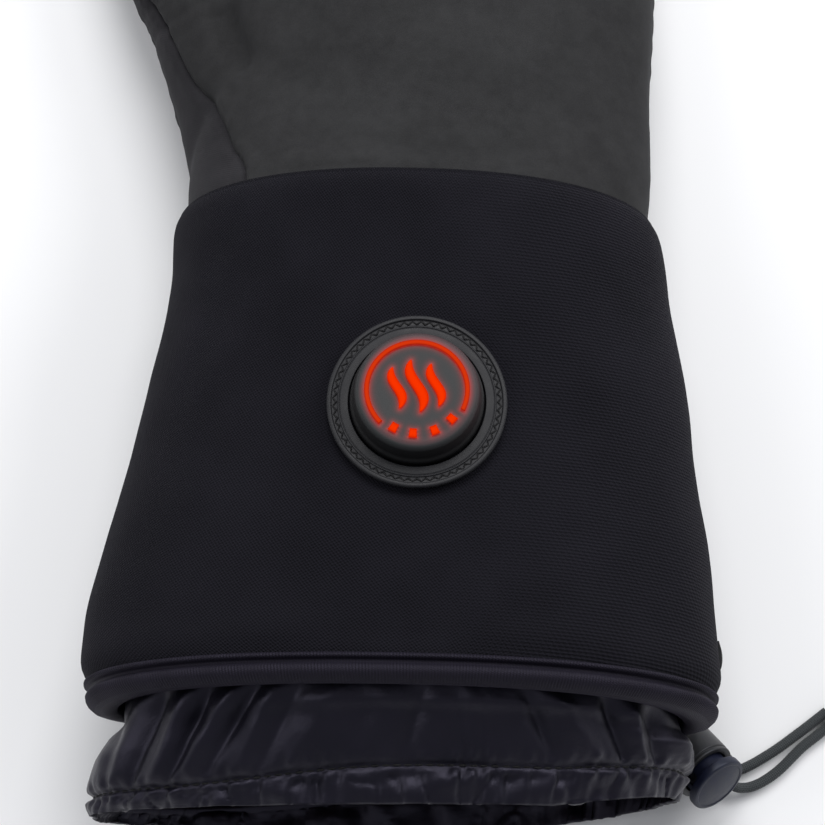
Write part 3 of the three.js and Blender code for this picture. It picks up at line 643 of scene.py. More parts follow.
def knit_finish():
    """Fine rib knit: rows of short dashes towards the thumb and a slanted grain of dots elsewhere."""
    finish = Finish(
        "padded_knit", roughness=0.92, specular_ior_level=0.12, sheen_weight=0.04, sheen_roughness=0.5,
        sheen_tint=tone(150, 148, 165),
    )
    where = finish.weave()
    u, v = finish.parts(where)[:2]
    drift = finish.noise(where, 9.0, 2.0)
    uneven = finish.swing(drift, 2.4)
    row = finish.sine(finish.add(v, finish.times(u, 0.035)), 0.78, uneven)
    dash = finish.sine(finish.add(u, finish.times(v, 0.6)), 1.25)
    ribs = finish.add(finish.times(row, 0.75), finish.times(dash, 0.35))
    slant = finish.sine(finish.add(u, finish.times(v, 0.75)), 0.74, uneven)
    counter = finish.sine(finish.less(v, finish.times(u, 0.55)), 0.7)
    dots = finish.add(finish.times(slant, 0.6), finish.times(counter, 0.5))
    ribbed = finish.spread(finish.add(u, finish.times(uneven, 8.0)), -40.0, -5.0, 1.0, 0.12)
    grain = finish.blend(ribbed, dots, ribs)
    fibre = finish.noise(where, 0.3, 1.0)
    height = finish.add(grain, finish.swing(fibre, 1.6))
    shade = finish.colour(finish.spread(height, -1.0, 1.1), tone(3, 3, 6), tone(21, 20, 27))
    cloudy = finish.noise(where, 24.0, 2.0)
    shade = finish.colour(finish.spread(cloudy, 0.3, 0.7, 0.0, 0.3), shade, tone(30, 29, 36))
    finish.set(base_color=shade, normal=finish.bump(height, 0.1))
    return finish.material


def tape_finish():
    """Ribbed elastic tape. The ribs are in the mesh, and this adds the yarns on them, with painted highlights
    and shade in stripes at the rib pitch.
    """
    finish = Finish(
        "binding_tape", roughness=0.62, specular_ior_level=0.25, specular_tint=(0.82, 0.76, 1.0),
        sheen_weight=0.06, sheen_roughness=0.4, sheen_tint=tone(150, 140, 175),
    )
    where = finish.weave()
    u, v = finish.parts(where)[:2]
    yarn = finish.sine(finish.add(v, finish.times(u, 0.4)), 0.42)
    rib = finish.sine(u, RIB_PITCH)
    fibre = finish.noise(where, 0.25, 1.0)
    height = finish.add(finish.times(yarn, 0.4), finish.times(fibre, 0.8))
    # Painted rib highlights and shade: lighter and darker stripes at the rib pitch, plus the yarn's own
    # stripes.
    light = finish.add(finish.times(rib, 0.6), finish.times(yarn, 0.2))
    shade = finish.colour(finish.spread(light, -0.8, 0.8), tone(5, 4, 8), tone(22, 20, 29))
    finish.set(base_color=shade, normal=finish.bump(height, 0.05))
    return finish.material


def nylon_finish():
    """Semi-gloss taffeta: a tight plain weave with faint creases."""
    finish = Finish(
        "nylon", roughness=0.38, specular_ior_level=0.34, specular_tint=(0.78, 0.74, 1.0),
        sheen_weight=0.02, sheen_roughness=0.35, sheen_tint=tone(130, 128, 160),
    )
    where = finish.weave()
    u, v = finish.parts(where)[:2]
    weft = finish.times(finish.sine(u, 0.34), finish.sine(v, 0.34))
    crease = finish.noise(where, 3.2, 4.0, 0.6)
    patch = finish.noise(where, 14.0, 2.0)
    shade = finish.colour(finish.spread(patch, 0.35, 0.65), tone(6, 6, 12), tone(13, 12, 19))
    weave = finish.bump(weft, 0.012)
    finish.set(base_color=shade, normal=finish.bump(crease, 0.18, weave))
    return finish.material


def softshell_finish(name, dark, light, relief=0.03, twill=False):
    """Brushed softshell: a very fine grain, faint mottling and a soft bloom."""
    finish = Finish(
        name, roughness=0.88, specular_ior_level=0.2, sheen_weight=0.05, sheen_roughness=0.45,
        sheen_tint=tone(160, 160, 165),
    )
    where = finish.place()
    grain = finish.noise(where, 0.32, 2.0, 0.6)
    mottle = finish.noise(where, 3.5, 3.0, 0.6)
    cloud = finish.noise(where, 22.0, 2.0)
    share = finish.add(finish.times(mottle, 0.5), finish.times(cloud, 0.5))
    share = finish.add(share, finish.swing(grain, 0.5))
    height = grain
    if twill:
        x, y, z = finish.parts(where)
        line = finish.sine(finish.add(finish.add(x, y), z), 0.9)
        across = finish.sine(finish.less(x, y), 0.9)
        height = finish.add(grain, finish.times(finish.times(line, across), 0.8))
    shade = finish.colour(finish.spread(share, 0.3, 0.7), dark, light)
    finish.set(base_color=shade, normal=finish.bump(height, relief))
    return finish.material


def fleece_finish():
    """Brushed fleece: tufts in clumps, with a bloom of their own red."""
    finish = Finish(
        "lining_fleece", roughness=1.0, specular_ior_level=0.1, sheen_weight=0.5, sheen_roughness=0.6,
        sheen_tint=tone(190, 70, 60),
    )
    where = finish.weave()
    tuft = finish.noise(where, 0.7, 3.0, 0.7)
    clump = finish.noise(where, 4.0, 2.0)
    shade = finish.colour(finish.spread(tuft, 0.3, 0.7), tone(40, 7, 7), tone(96, 18, 16))
    shade = finish.colour(finish.spread(clump, 0.35, 0.7, 0.0, 0.35), shade, tone(66, 14, 13))
    finish.set(base_color=shade, normal=finish.bump(tuft, 0.5))
    return finish.material


def thread_finish(name, dark, light):
    """Plied thread or webbing."""
    finish = Finish(name, roughness=0.6, specular_ior_level=0.3)
    where = finish.place()
    x, y, z = finish.parts(where)
    ply = finish.sine(finish.add(finish.add(x, y), z), 0.35)
    shade = finish.colour(finish.spread(ply, -1.0, 1.0), dark, light)
    finish.set(base_color=shade, normal=finish.bump(ply, 0.04))
    return finish.material


def silicone_finish():
    """Matt moulded silicone, a little worn in places."""
    finish = Finish("silicone", roughness=0.6, specular_ior_level=0.3)
    where = finish.place()
    grain = finish.noise(where, 0.22, 2.0, 0.6)
    worn = finish.noise(where, 3.0, 3.0, 0.6)
    shade = finish.colour(finish.spread(worn, 0.3, 0.7), tone(26, 26, 29), tone(34, 34, 37))
    rough = finish.spread(worn, 0.3, 0.7, 0.5, 0.64)
    finish.set(base_color=shade, roughness=rough, normal=finish.bump(grain, 0.035))
    return finish.material


def cap_finish():
    """Smoky silicone that the lamps behind the symbols tint. The mesh holds how near they are, a painted red
    glow round the rim that is strongest on one side, and painted shade on the wall.
    """
    finish = Finish("silicone_cap", roughness=0.6, specular_ior_level=0.3)
    where = finish.place()
    grain = finish.noise(where, 0.25, 2.0, 0.6)
    near = finish.stored("near_light")
    wash = finish.stored("wash")
    shade = finish.colour(grain, tone(36, 38, 39), tone(45, 47, 48))
    # Painted shade: the wall's colour goes near black where the mesh holds it.
    wall = finish.stored("wall")
    shade = finish.colour(wall, shade, tone(6, 6, 8))
    finish.set(base_color=shade, normal=finish.bump(grain, 0.03))
    halo = finish.math("POWER", near, 2.2)
    light = finish.colour(halo, (0.0, 0.0, 0.0), (0.5, 0.012, 0.004))
    # Painted glow: red light added over the rim and on one side of the cap.
    red = finish.colour(wash, (0.0, 0.0, 0.0), (0.085, 0.013, 0.018))
    finish.set(emission_color=finish.colour(1.0, light, red, "ADD"), emission_strength=1.0)
    return finish.material


def lit_finish(name, middle, edge):
    """A lit window. It is brighter in its middle than at its edge."""
    finish = Finish(name, roughness=0.5, specular_ior_level=0.0)
    rim = finish.stored("rim")
    grain = finish.noise(finish.place(), 0.5, 2.0)
    share = finish.math("ADD", rim, finish.swing(grain, 0.25), True)
    glow = finish.colour(share, middle, edge)
    finish.set(base_color=(0.01, 0.001, 0.0), emission_color=glow, emission_strength=1.0)
    return finish.material


def plastic_finish(name, dark, light, roughness):
    """Satin moulded plastic with a fine spark-eroded grain and faint rubs."""
    finish = Finish(name, specular_ior_level=0.36, specular_tint=(0.86, 0.9, 1.0))
    where = finish.place()
    grain = finish.noise(where, 0.18, 2.0, 0.6)
    rub = finish.noise(where, 2.6, 4.0, 0.65)
    shade = finish.colour(finish.spread(rub, 0.35, 0.7), dark, light)
    rough = finish.spread(rub, 0.3, 0.7, roughness - 0.06, roughness + 0.06)
    finish.set(base_color=shade, roughness=rough, normal=finish.bump(grain, 0.02))
    return finish.material


def cord_finish():
    """Braided elastic: the yarns that cross are in the mesh, and this adds their shades and fibres."""
    finish = Finish(
        "elastic_cord", roughness=0.75, specular_ior_level=0.3, sheen_weight=0.2, sheen_roughness=0.4)
    where = finish.weave()
    u, v = finish.parts(where)[:2]
    right = finish.sine(finish.add(u, v), 0.98)
    left = finish.sine(finish.less(u, v), 0.98)
    braid = finish.times(right, left)
    fibre = finish.noise(finish.place(), 0.18, 2.0)
    light = finish.add(braid, finish.swing(fibre, 1.4))
    shade = finish.colour(finish.spread(light, -1.0, 1.0), tone(34, 37, 39), tone(68, 72, 74))
    finish.set(base_color=shade, normal=finish.bump(light, 0.05))
    return finish.material


KNIT = knit_finish()
TAPE = tape_finish()
NYLON = nylon_finish()
SOFTSHELL = softshell_finish("softshell", tone(30, 30, 31), tone(42, 42, 43))
SIDE_FABRIC = softshell_finish("side_fabric", tone(28, 27, 30), tone(37, 36, 39), twill=True)
PALM_FABRIC = softshell_finish("palm_fabric", tone(24, 24, 27), tone(34, 33, 37), relief=0.06, twill=True)
FLEECE = fleece_finish()
WEBBING = thread_finish("tab_webbing", tone(16, 16, 19), tone(30, 30, 34))
THREAD = thread_finish("sewing_thread", tone(5, 5, 7), tone(14, 13, 17))
SILICONE = silicone_finish()
CAP = cap_finish()
WAVE_LIT = lit_finish("lit_wave", (0.93, 0.033, 0.0), (0.6, 0.016, 0.0))
RING_LIT = lit_finish("lit_ring", (0.66, 0.035, 0.004), (0.36, 0.012, 0.003))
BARREL_PLASTIC = plastic_finish("lock_plastic", tone(34, 34, 36), tone(46, 45, 45), 0.4)
PLUNGER_PLASTIC = plastic_finish("plunger_plastic", tone(15, 18, 34), tone(22, 26, 47), 0.45)
CORD = cord_finish()

# Camera and stage

CAMERA_TARGET = Vector((-1.0, -2.95, 76))
CAMERA_TILT = math.radians(13)
CAMERA_DISTANCE = 650
FLOOR_REACH = 3.0


def add_camera():
    """The photograph's view: from above and a little from the open cuff."""
    data = bpy.data.cameras.new("photo_view")
    data.sensor_width = 36
    data.lens = 127.77
    camera = link(bpy.data.objects.new("photo_view", data))
    back = Vector((0, -math.sin(CAMERA_TILT), math.cos(CAMERA_TILT)))
    camera.location = (CAMERA_TARGET + CAMERA_DISTANCE * back) * MM
    camera.rotation_euler = Euler((CAMERA_TILT, 0, 0))
    bpy.context.scene.camera = camera


def add_light(name, place, aim, size, power):
    """A round soft light that looks at a point. Its lengths are in metres."""
    data = bpy.data.lights.new(name, "AREA")
    data.shape = "DISK"
    data.size = size
    data.energy = power
    light = link(bpy.data.objects.new(name, data))
    light.location = Vector(place)
    light.rotation_euler = (Vector(place) - Vector(aim)).to_track_quat("Z", "Y").to_euler()


def add_stage():
    """A pale floor, an even sky and three soft lights, which come mostly from beyond the fingers."""
    corners = [(x * FLOOR_REACH, y * FLOOR_REACH, 0) for x, y in ((-1, -1), (1, -1), (1, 1), (-1, 1))]
    mesh = bpy.data.meshes.new("floor")
    mesh.from_pydata(corners, [], [(0, 1, 2, 3)])
    finish = Finish("floor", roughness=0.8, specular_ior_level=0.1)
    cloud = finish.noise(finish.place(), 400.0, 2.0)
    finish.set(base_color=finish.colour(cloud, tone(232, 232, 233), tone(240, 240, 241)))
    mesh.materials.append(finish.material)
    link(bpy.data.objects.new("floor", mesh))
    world = bpy.data.worlds.new("studio")
    world.use_nodes = True
    sky = world.node_tree.nodes["Background"].inputs
    sky["Color"].default_value = (0.93, 0.95, 1.0, 1)
    sky["Strength"].default_value = 0.42
    bpy.context.scene.world = world
    bpy.context.scene.view_settings.view_transform = "Standard"
    add_light("key", (0.05, 0.8, 0.95), (0, 0, 0.05), 0.7, 10.5)
    add_light("side", (0.85, 0.5, 0.75), (0, 0, 0.04), 0.6, 6.5)
    add_light("fill", (-0.8, 0.1, 0.8), (0, 0, 0.04), 0.8, 3.5)


add_camera()
add_stage()

# Cord lock frame: X is the plunger's way out, and the cords leave along minus Z

LOCK_TURNS = (
    Matrix.Rotation(math.radians(LOCK_TURN), 3, "Z")
    @ Matrix.Rotation(math.radians(-LOCK_RISE), 3, "Y")
    @ Matrix.Rotation(math.radians(LOCK_ROLL), 3, "X")
)
LOCK_START = PLUNGER_HEAD + PLUNGER_GAP
LOCK_END = LOCK_START + LOCK_LENGTH
CORD_STATION = -(LOCK_START + LOCK_LENGTH * 0.27)
LOCK_BORE = LOCK_RADIUS - LOCK_WALL


def in_lock(points):
    """Points of the lock's own frame in the part's frame."""
    return np.asarray(points, float) @ np.array(LOCK_TURNS).T + np.array(LOCK_FACE)


# Cords


def centripetal(points, count):
    """An even line of points on a centripetal curve through a few points."""
    p = np.array(points, float)
    p = np.concatenate([[2 * p[0] - p[1]], p, [2 * p[-1] - p[-2]]])
    line = []
    for a, b, c, d in zip(p, p[1:], p[2:], p[3:]):
        ka = 0.0
        kb = ka + np.linalg.norm(b - a) ** 0.5
        kc = kb + np.linalg.norm(c - b) ** 0.5
        kd = kc + np.linalg.norm(d - c) ** 0.5
        for k in np.linspace(kb, kc, 24, endpoint=False):
            ab = (kb - k) / (kb - ka) * a + (k - ka) / (kb - ka) * b
            bc = (kc - k) / (kc - kb) * b + (k - kb) / (kc - kb) * c
            cd = (kd - k) / (kd - kc) * c + (k - kc) / (kd - kc) * d
            abc = (kc - k) / (kc - ka) * ab + (k - ka) / (kc - ka) * bc
            bcd = (kd - k) / (kd - kb) * bc + (k - kb) / (kd - kb) * cd
            line.append((kc - k) / (kc - kb) * abc + (k - kb) / (kc - kb) * bcd)
    line = np.array(line + [p[-2]])
    return evenly(line, count)


def evenly(line, count):
    """The same line with points at equal steps."""
    length = lengths_along(line)
    at = np.linspace(0, length[-1], count)
    return np.stack([np.interp(at, length, line[:, k]) for k in range(3)], axis=-1)


def tube_rings(line, radius, sides, relief=None):
    """Rings round a line, carried along it without twist. Relief changes the radius by length and angle."""
    tangents = np.gradient(line, axis=0)
    tangents /= np.linalg.norm(tangents, axis=1, keepdims=True)
    side = np.cross(tangents[0], (0.3, 0.2, 1.0))
    sides_out = []
    for tangent in tangents:
        side = side - tangent * (side @ tangent)
        side /= np.linalg.norm(side)
        sides_out.append(side.copy())
    side = np.array(sides_out)[:, None, :]
    up = np.cross(tangents, side[:, 0])[:, None, :]
    angle = np.arange(sides) / sides * 2 * np.pi
    size = np.full((len(line), sides), float(radius))
    if relief is not None:
        size += relief(lengths_along(line)[:, None], angle[None, :])
    ring = np.cos(angle)[None, :, None] * side + np.sin(angle)[None, :, None] * up
    return line[:, None, :] + ring * size[..., None]


def closed_tube(rings):
    """Points and faces of a tube with a cap at each end, and its map."""
    rows, sides = rings.shape[:2]
    faces = ring_faces(rows, sides).tolist()
    length = lengths_along(rings.mean(axis=1))
    corners = ring_corners(rings, length).tolist()
    points = rings.reshape(-1, 3).tolist()
    for row, order in ((0, 1), (rows - 1, -1)):
        points.append(rings[row].mean(axis=0).tolist())
        start = row * sides
        for i in range(sides):
            a, b = start + i, start + (i + 1) % sides
            faces.append([len(points) - 1, a, b][::order])
            corners += [[0, length[row]]] * 3
    return points, faces, corners


def faced_out(points, faces, corners=None):
    """The same faces, turned if the body's volume is negative."""
    p = np.asarray(points)
    volume = 0.0
    for face in faces:
        for k in range(1, len(face) - 1):
            volume += np.dot(p[face[0]], np.cross(p[face[k]], p[face[k + 1]]))
    if volume > 0:
        return faces, corners
    mapped, at = [], 0
    for face in faces:
        if corners is not None:
            mapped += corners[at:at + len(face)][::-1]
        at += len(face)
    return [face[::-1] for face in faces], mapped or None


def joined_tubes(tubes):
    """Points and faces of several closed tubes, each one facing outwards."""
    points, faces = [], []
    for rings in tubes:
        p, f, _ = closed_tube(rings)
        faces += [[k + len(points) for k in face] for face in faced_out(p, f)[0]]
        points += p
    return points, faces


def faced_mesh(name, rings, looped=False):
    """A mesh over the rings of a closed body, facing outwards."""
    faces = ring_faces(*rings.shape[:2], looped).tolist()
    return make_mesh(name, rings, faced_out(rings.reshape(-1, 3), faces)[0])


def tube_mesh(name, line, radius, sides, relief):
    """A closed tube with the map that the cord's finish reads."""
    points, faces, corners = closed_tube(tube_rings(line, radius, sides, relief))
    return make_mesh(name, points, *faced_out(points, faces, corners))


BRAID_STRANDS = 6
BRAID_PITCH = 5.2
BRAID_DEPTH = 0.07
KNOT_SPIN = math.radians(42)


def braid(length, angle):
    """Relief of a round braid: two sets of yarns that cross."""
    along = 2 * np.pi * BRAID_STRANDS * length / BRAID_PITCH
    right = np.sin(BRAID_STRANDS * angle + along)
    left = np.sin(BRAID_STRANDS * angle - along)
    return BRAID_DEPTH * (np.maximum(right, left) - 0.4)


def add_knot():
    """An overhand knot where both cords end."""
    turn = np.linspace(0, 2 * np.pi, 150)[:-6]
    x = 0.86 * (np.sin(turn) + 2 * np.sin(2 * turn))
    y = 0.78 * (np.cos(turn) - 2 * np.cos(2 * turn))
    z = -1.1 * np.sin(3 * turn)
    c, s = math.cos(KNOT_SPIN), math.sin(KNOT_SPIN)
    line = np.stack([x * c - y * s, x * s + y * c, z], axis=-1) + np.array(KNOT_CENTRE)
    mesh = tube_mesh("knot_loop", evenly(line, 180), CORD_RADIUS, KNOT_SIDES, braid)
    return add_piece("knot_loop", mesh, CORD, "elastic_cord", "cord_knot")


def add_cords():
    """Both runs of the draw cord, from the lock's slot along the floor to the knot."""
    knot = add_knot()
    for side, name in ((-0.5, "upper"), (0.5, "lower")):
        start = in_lock((CORD_STATION + side * CORD_SPACING, 0, -LOCK_RADIUS - SEAM_GAP))
        leaving = start + np.array(LOCK_TURNS @ Vector((0, 0, -CORD_RADIUS)))
        line = centripetal([start, leaving, *CORD_ROUTES[name]], 190)
        mesh = tube_mesh(f"cord_{name}", line, CORD_RADIUS - 0.03, CORD_SIDES, braid)
        piece = add_piece(f"cord_{name}", mesh, CORD, "elastic_cord", f"draw_cord_{name}")


add_cords()

# Cuff and binding


def add_cuff():
    """Foam-backed knit: an outer skin that rolls over the wrist edge, and an inner one."""
    angles = even_angles(CUFF_SIDES)
    depth = np.concatenate([np.linspace(0, 6, 13)[:-1], np.linspace(6, CUFF_LENGTH - TAPE_PULL, 98)])
    skin = cuff_rings(depth / CUFF_LENGTH, angles)
    rim = -HEM_ROUND * np.exp(-depth / 2.0)
    from_plate = np.hypot(skin[..., 0], skin[..., 1]) - PLATE_RADIUS
    on_top = skin[..., 2] > WRIST_HEIGHT / 2
    pressed = np.where(on_top, -0.45 * np.exp(-(np.maximum(from_plate - 0.6, 0) / 2.6) ** 2), 0)
    soft = 0.32 * ripple(skin, 22, 3) + 0.1 * ripple(skin, 7, 4)
    soft *= smooth_step(0, 8, depth)[:, None]
    soft *= (1 - smooth_step(CUFF_LENGTH - 12, CUFF_LENGTH - 8, depth))[:, None]
    outer = moved_out(skin, rim[:, None] + pressed + soft)
    middle = (-HEM_ROUND - CUFF_WALL) / 2
    half = (CUFF_WALL - HEM_ROUND) / 2
    edge = cuff_rings(0, angles)
    roll = []
    for turn in np.linspace(np.pi, 0, 9)[1:-1]:
        ring = moved_out(edge, middle + half * math.cos(turn))
        ring[..., 1] += half * math.sin(turn)
        roll.append(ring)
    inner = moved_out(cuff_rings(np.linspace(0, 1 - TAPE_PULL / CUFF_LENGTH, 36), angles), -CUFF_WALL)[::-1]
    rings = np.concatenate([outer, inner, *roll])
    way = np.concatenate([depth, CUFF_LENGTH + 4 + np.arange(len(inner) + len(roll)) * 3.3])
    piece = add_rings("cuff_knit", rings, KNIT, "padded_knit", "cuff", looped=True, across=way)


def binding_profile():
    """Depth from the tape's edge, height off the cuff's skin and how ribbed it is, all round the tape."""
    ridge = TAPE_ROLL + GROOVE_WIDTH
    top = ridge + RIDGE_WIDTH
    inside = -CUFF_WALL - SEAM_GAP
    return table(
        "deep out ribs",
        (top, SEAM_GAP * 0.4, 0),
        (top - RIDGE_WIDTH * 0.08, RIDGE_PLUMP * 0.45, 0.6),
        (top - RIDGE_WIDTH * 0.26, RIDGE_PLUMP * 0.88, 1),
        (top - RIDGE_WIDTH * 0.5, RIDGE_PLUMP, 1),
        (top - RIDGE_WIDTH * 0.74, RIDGE_PLUMP * 0.88, 1),
        (top - RIDGE_WIDTH * 0.94, RIDGE_PLUMP * 0.5, 0.5),
        (ridge, GROOVE_SKIN * 0.6, 0),
        (ridge - GROOVE_WIDTH * 0.6, GROOVE_SKIN * 0.5, 0),
        (TAPE_ROLL * 0.99, BINDING_PLUMP * 0.36, 0.4),
        (TAPE_ROLL * 0.9, BINDING_PLUMP * 0.68, 1),
        (TAPE_ROLL * 0.7, BINDING_PLUMP * 0.93, 1),
        (TAPE_ROLL * 0.45, BINDING_PLUMP, 1),
        (TAPE_ROLL * 0.2, BINDING_PLUMP * 0.95, 1),
        (0, BINDING_PLUMP * 0.78, 1),
        (-BINDING_SKIN * 0.62, BINDING_PLUMP * 0.42, 1),
        (-BINDING_SKIN, -0.3, 0.8),
        (-BINDING_SKIN - 0.1, inside * 0.5, 0.3),
        (-BINDING_SKIN * 0.7, inside - BINDING_SKIN * 0.6, 0),
        (TAPE_ROLL * 0.3, inside - BINDING_SKIN, 0),
        (TAPE_ROLL * 0.8, inside - BINDING_SKIN, 0),
        (TAPE_ROLL * 0.8, inside, 0),
        (-SEAM_GAP, inside, 0),
        (-SEAM_GAP, 0, 0),
        (TAPE_ROLL, SEAM_GAP * 0.4, 0),
    )


def add_binding():
    """Elastic tape folded round the cuff's edge: a ridge, a stitched groove and a plump roll, all ribbed."""
    deep, out, ribbed = binding_profile().values()
    outline = lengths_along(cuff_rings(0.95, even_angles(400))[0])[-1]
    ribs = round(outline / RIB_PITCH)
    angles = even_angles(4 * ribs)
    base = cuff_rings(1 - (np.maximum(deep, 0) + TAPE_PULL) / CUFF_LENGTH, angles)
    around = np.arange(4 * ribs) / 4
    rib = np.cos(2 * np.pi * around)[None, :] * ribbed[:, None] * RIB_RELIEF
    lap = 0.35 * np.exp(-(((base[..., 0] - LAP_PLACE) / LAP_REACH) ** 4))
    lap *= base[..., 2] > LAP_FLOOR
    lap *= ((out > 0.5) & (deep < TAPE_ROLL))[:, None]
    swell = 0.12 * ripple(base, 12, 8) * ribbed[:, None]
    rings = moved_out(base, out[:, None] + rib + lap + swell)
    rings[..., 1] += np.minimum(deep, 0)[:, None]
    rings[..., 2] = np.maximum(rings[..., 2], 0.03)
    add_rings("cuff_tape", rings, TAPE, "binding_tape", "cuff_binding", looped=True)


def add_side_tab():
    """A small folded tab that stands out of the cuff's little-finger side."""
    start = CUFF_LENGTH - (BINDING_DEPTH + GROOVE_WIDTH + RIDGE_WIDTH + TAB_WIDTH + TAB_CLEARANCE)
    angles = even_angles(TAB_SIDES)
    first, last = np.searchsorted(angles, np.radians(TAB_ANGLES))
    across = np.linspace(0, 1, 9)
    skin = cuff_rings((start + across * TAB_WIDTH) / CUFF_LENGTH, angles)
    normal = outward(skin)[:, first:last]
    skin = skin[:, first:last]
    ends = np.linspace(0, 1, last - first)
    plump = TAB_THICKNESS * np.sin(np.pi * np.clip(ends, 0.02, 0.98)) ** 0.35
    edge = np.sin(np.pi * np.clip(across, 0.04, 0.96)) ** 0.4
    loop = 0.25 + plump[None, :] * edge[:, None]
    points, faces = slab(skin + normal * loop[..., None], skin + normal * 0.1)
    add_piece("tab_fold", make_mesh("tab_fold", points, faces), WEBBING, "tab_webbing", "side_tab")


add_cuff()
add_binding()
add_side_tab()

# Storm skirt and lining

LINE_DIP = 4.5
HEM = -MOUTH_EDGE - SKIRT_DROP
STITCH_STEP = 2.4
STITCH_RADIUS = 0.27
GATHERS = 62
FINE_GATHERS = 97
FOLDS = table(
    "top bottom height width",
    (-67.0, -73.0, 0.8, 2.4),
    (-64.5, -71.5, -1.0, 1.5),
    (-61.7, -69.5, 1.5, 2.3),
    (-57.0, -65.5, -2.0, 1.7),
    (-51.0, -59.5, 1.8, 2.3),
    (-46.5, -56.0, -2.3, 1.7),
    (-40.5, -54.0, 1.6, 2.2),
    (-36.0, -49.0, -1.9, 1.8),
    (-31.5, -41.5, 1.3, 2.4),
    (-26.0, -37.0, -1.0, 2.0),
    (-18.0, -30.2, 0.9, 3.6),
    (-7.0, -12.0, 0.4, 3.4),
    (1.3, -4.7, -1.2, 2.0),
    (8.5, 12.0, -0.8, 2.0),
    (14.5, 15.0, -0.6, 1.6),
    (24.1, 33.5, -1.9, 2.0),
    (29.5, 44.0, 1.4, 3.2),
    (41.9, 49.5, -2.6, 2.0),
    (47.6, 51.5, 1.3, 1.4),
    (53.0, 56.0, -3.0, 2.4),
    (58.5, 63.0, 1.6, 2.2),
)


def skirt_stations(angles):
    """The skirt's outline where it is set by the cuff's lining and by its own rows."""
    lip = moved_out(cuff_rings(1.0, angles), -BEHIND_BINDING)
    upper, lower = lip.copy(), lip.copy()
    upper[..., 1] = SKIRT_TOP
    lower[..., 1] = -MOUTH_EDGE - 1.2
    column = columns(SKIRT_ROWS)
    x, z = oval(
        MOUTH_REACH_THUMB * column["thumb"], MOUTH_REACH_LITTLE * column["little"],
        MOUTH_HEIGHT * column["crown"], MOUTH_HEIGHT * column["base"], angles[None, :], column["belly"],
    )
    y = -MOUTH_EDGE - SKIRT_DROP * column["along"] + 0 * x
    free = moved_out(np.stack([x, y, z], axis=-1), -1.1)
    return np.concatenate([upper, lower, free])


def clear_of_lock(points, gap):
    """Moves soft points out of the lock's room."""
    out = np.array(LOCK_TURNS @ Vector((1, 0, 0)))
    face = np.array(LOCK_FACE)
    along = np.clip((points - face) @ out, -LOCK_END, 0)
    axis_points = face + along[..., None] * out
    away = points - axis_points
    far = np.linalg.norm(away, axis=-1, keepdims=True)
    room = LOCK_RADIUS + gap
    return np.where(far < room, axis_points + away / np.maximum(far, 1e-6) * room, points)


def skirt_rings(angles, ys):
    """The skirt without folds: it follows the cuff's mouth, dips by the thumb and lifts at the lock."""
    stations = skirt_stations(angles)
    rings = through(-stations[:, 0, 1], stations, -ys)
    x, z = rings[..., 0], rings[..., 2]
    down = np.clip((-MOUTH_EDGE - ys) / SKIRT_DROP, 0, 1)[:, None]
    lift = HEM_LIFT * down * np.clip(x / HEM_LIFT_START - 1, 0, 1)
    dip = LINE_DIP * np.sin(np.pi * down) * smooth_step(0, -60, x)
    rings[..., 1] = ys[:, None] - (1 - down) * (run_out(z) + EDGE_SKEW * x) + lift - dip
    return rings


def skirt_folds(rings, ys):
    """Folds out of the tape: slanted ones over the back and an even run of them round the underside."""
    x, y, z = np.moveaxis(rings, -1, 0)
    down = (-64 - y) / 20
    on_back = smooth_step(26, 44, z)
    slanted = np.zeros(x.shape)
    for top, bottom, height, width in zip(*FOLDS.values()):
        away = np.abs(x - mix(top, bottom, down)) / width
        slanted += height * np.exp(-away ** 1.7)
    slanted *= 1 - 0.45 * smooth_step(0.25, 1.0, down)
    around = np.arange(rings.shape[1]) / rings.shape[1] * 2 * np.pi
    wander = 0.35 * np.sin(3 * around + 1.0) + 0.25 * np.sin(7 * around + 0.4)
    even = np.sin(26 * around + 2 * np.pi * wander + 0.1 * ys[:, None])
    crumple = 0.3 * ripple(rings, 9, 22) + 0.16 * ripple(rings, 4.0, 23)
    return mix(0.9 * even, slanted, on_back) + crumple


def add_skirt():
    """Taffeta that swells out of the cuff, is gathered by a stitch line and ends in a hem channel."""
    ys = np.concatenate([np.linspace(SKIRT_TOP, STITCH_LINE, 34), np.linspace(STITCH_LINE, HEM, 16)[1:]])
    rings = skirt_rings(even_angles(SKIRT_SIDES), ys)
    free = smooth_step(-60, -66, ys) * (1 - 0.75 * np.exp(-((ys - STITCH_LINE) / 1.6) ** 2))
    free *= 1 - 0.5 * smooth_step(STITCH_LINE, HEM, ys)
    rings = moved_out(rings, skirt_folds(rings, ys) * free[:, None])
    rings = clear_of_lock(puckered(rings, ys), SEAM_GAP + 0.3)
    rings[..., 2] = np.maximum(rings[..., 2], 0.05)
    piece = add_rings("skirt_taffeta", rings, NYLON, "nylon", "storm_skirt")
    wall = piece.modifiers.new("wall", "SOLIDIFY")
    wall.thickness = SKIRT_WALL * MM
    wall.offset = -1
    stitches = add_skirt_stitches(rings[np.argmin(np.abs(ys - STITCH_LINE))])


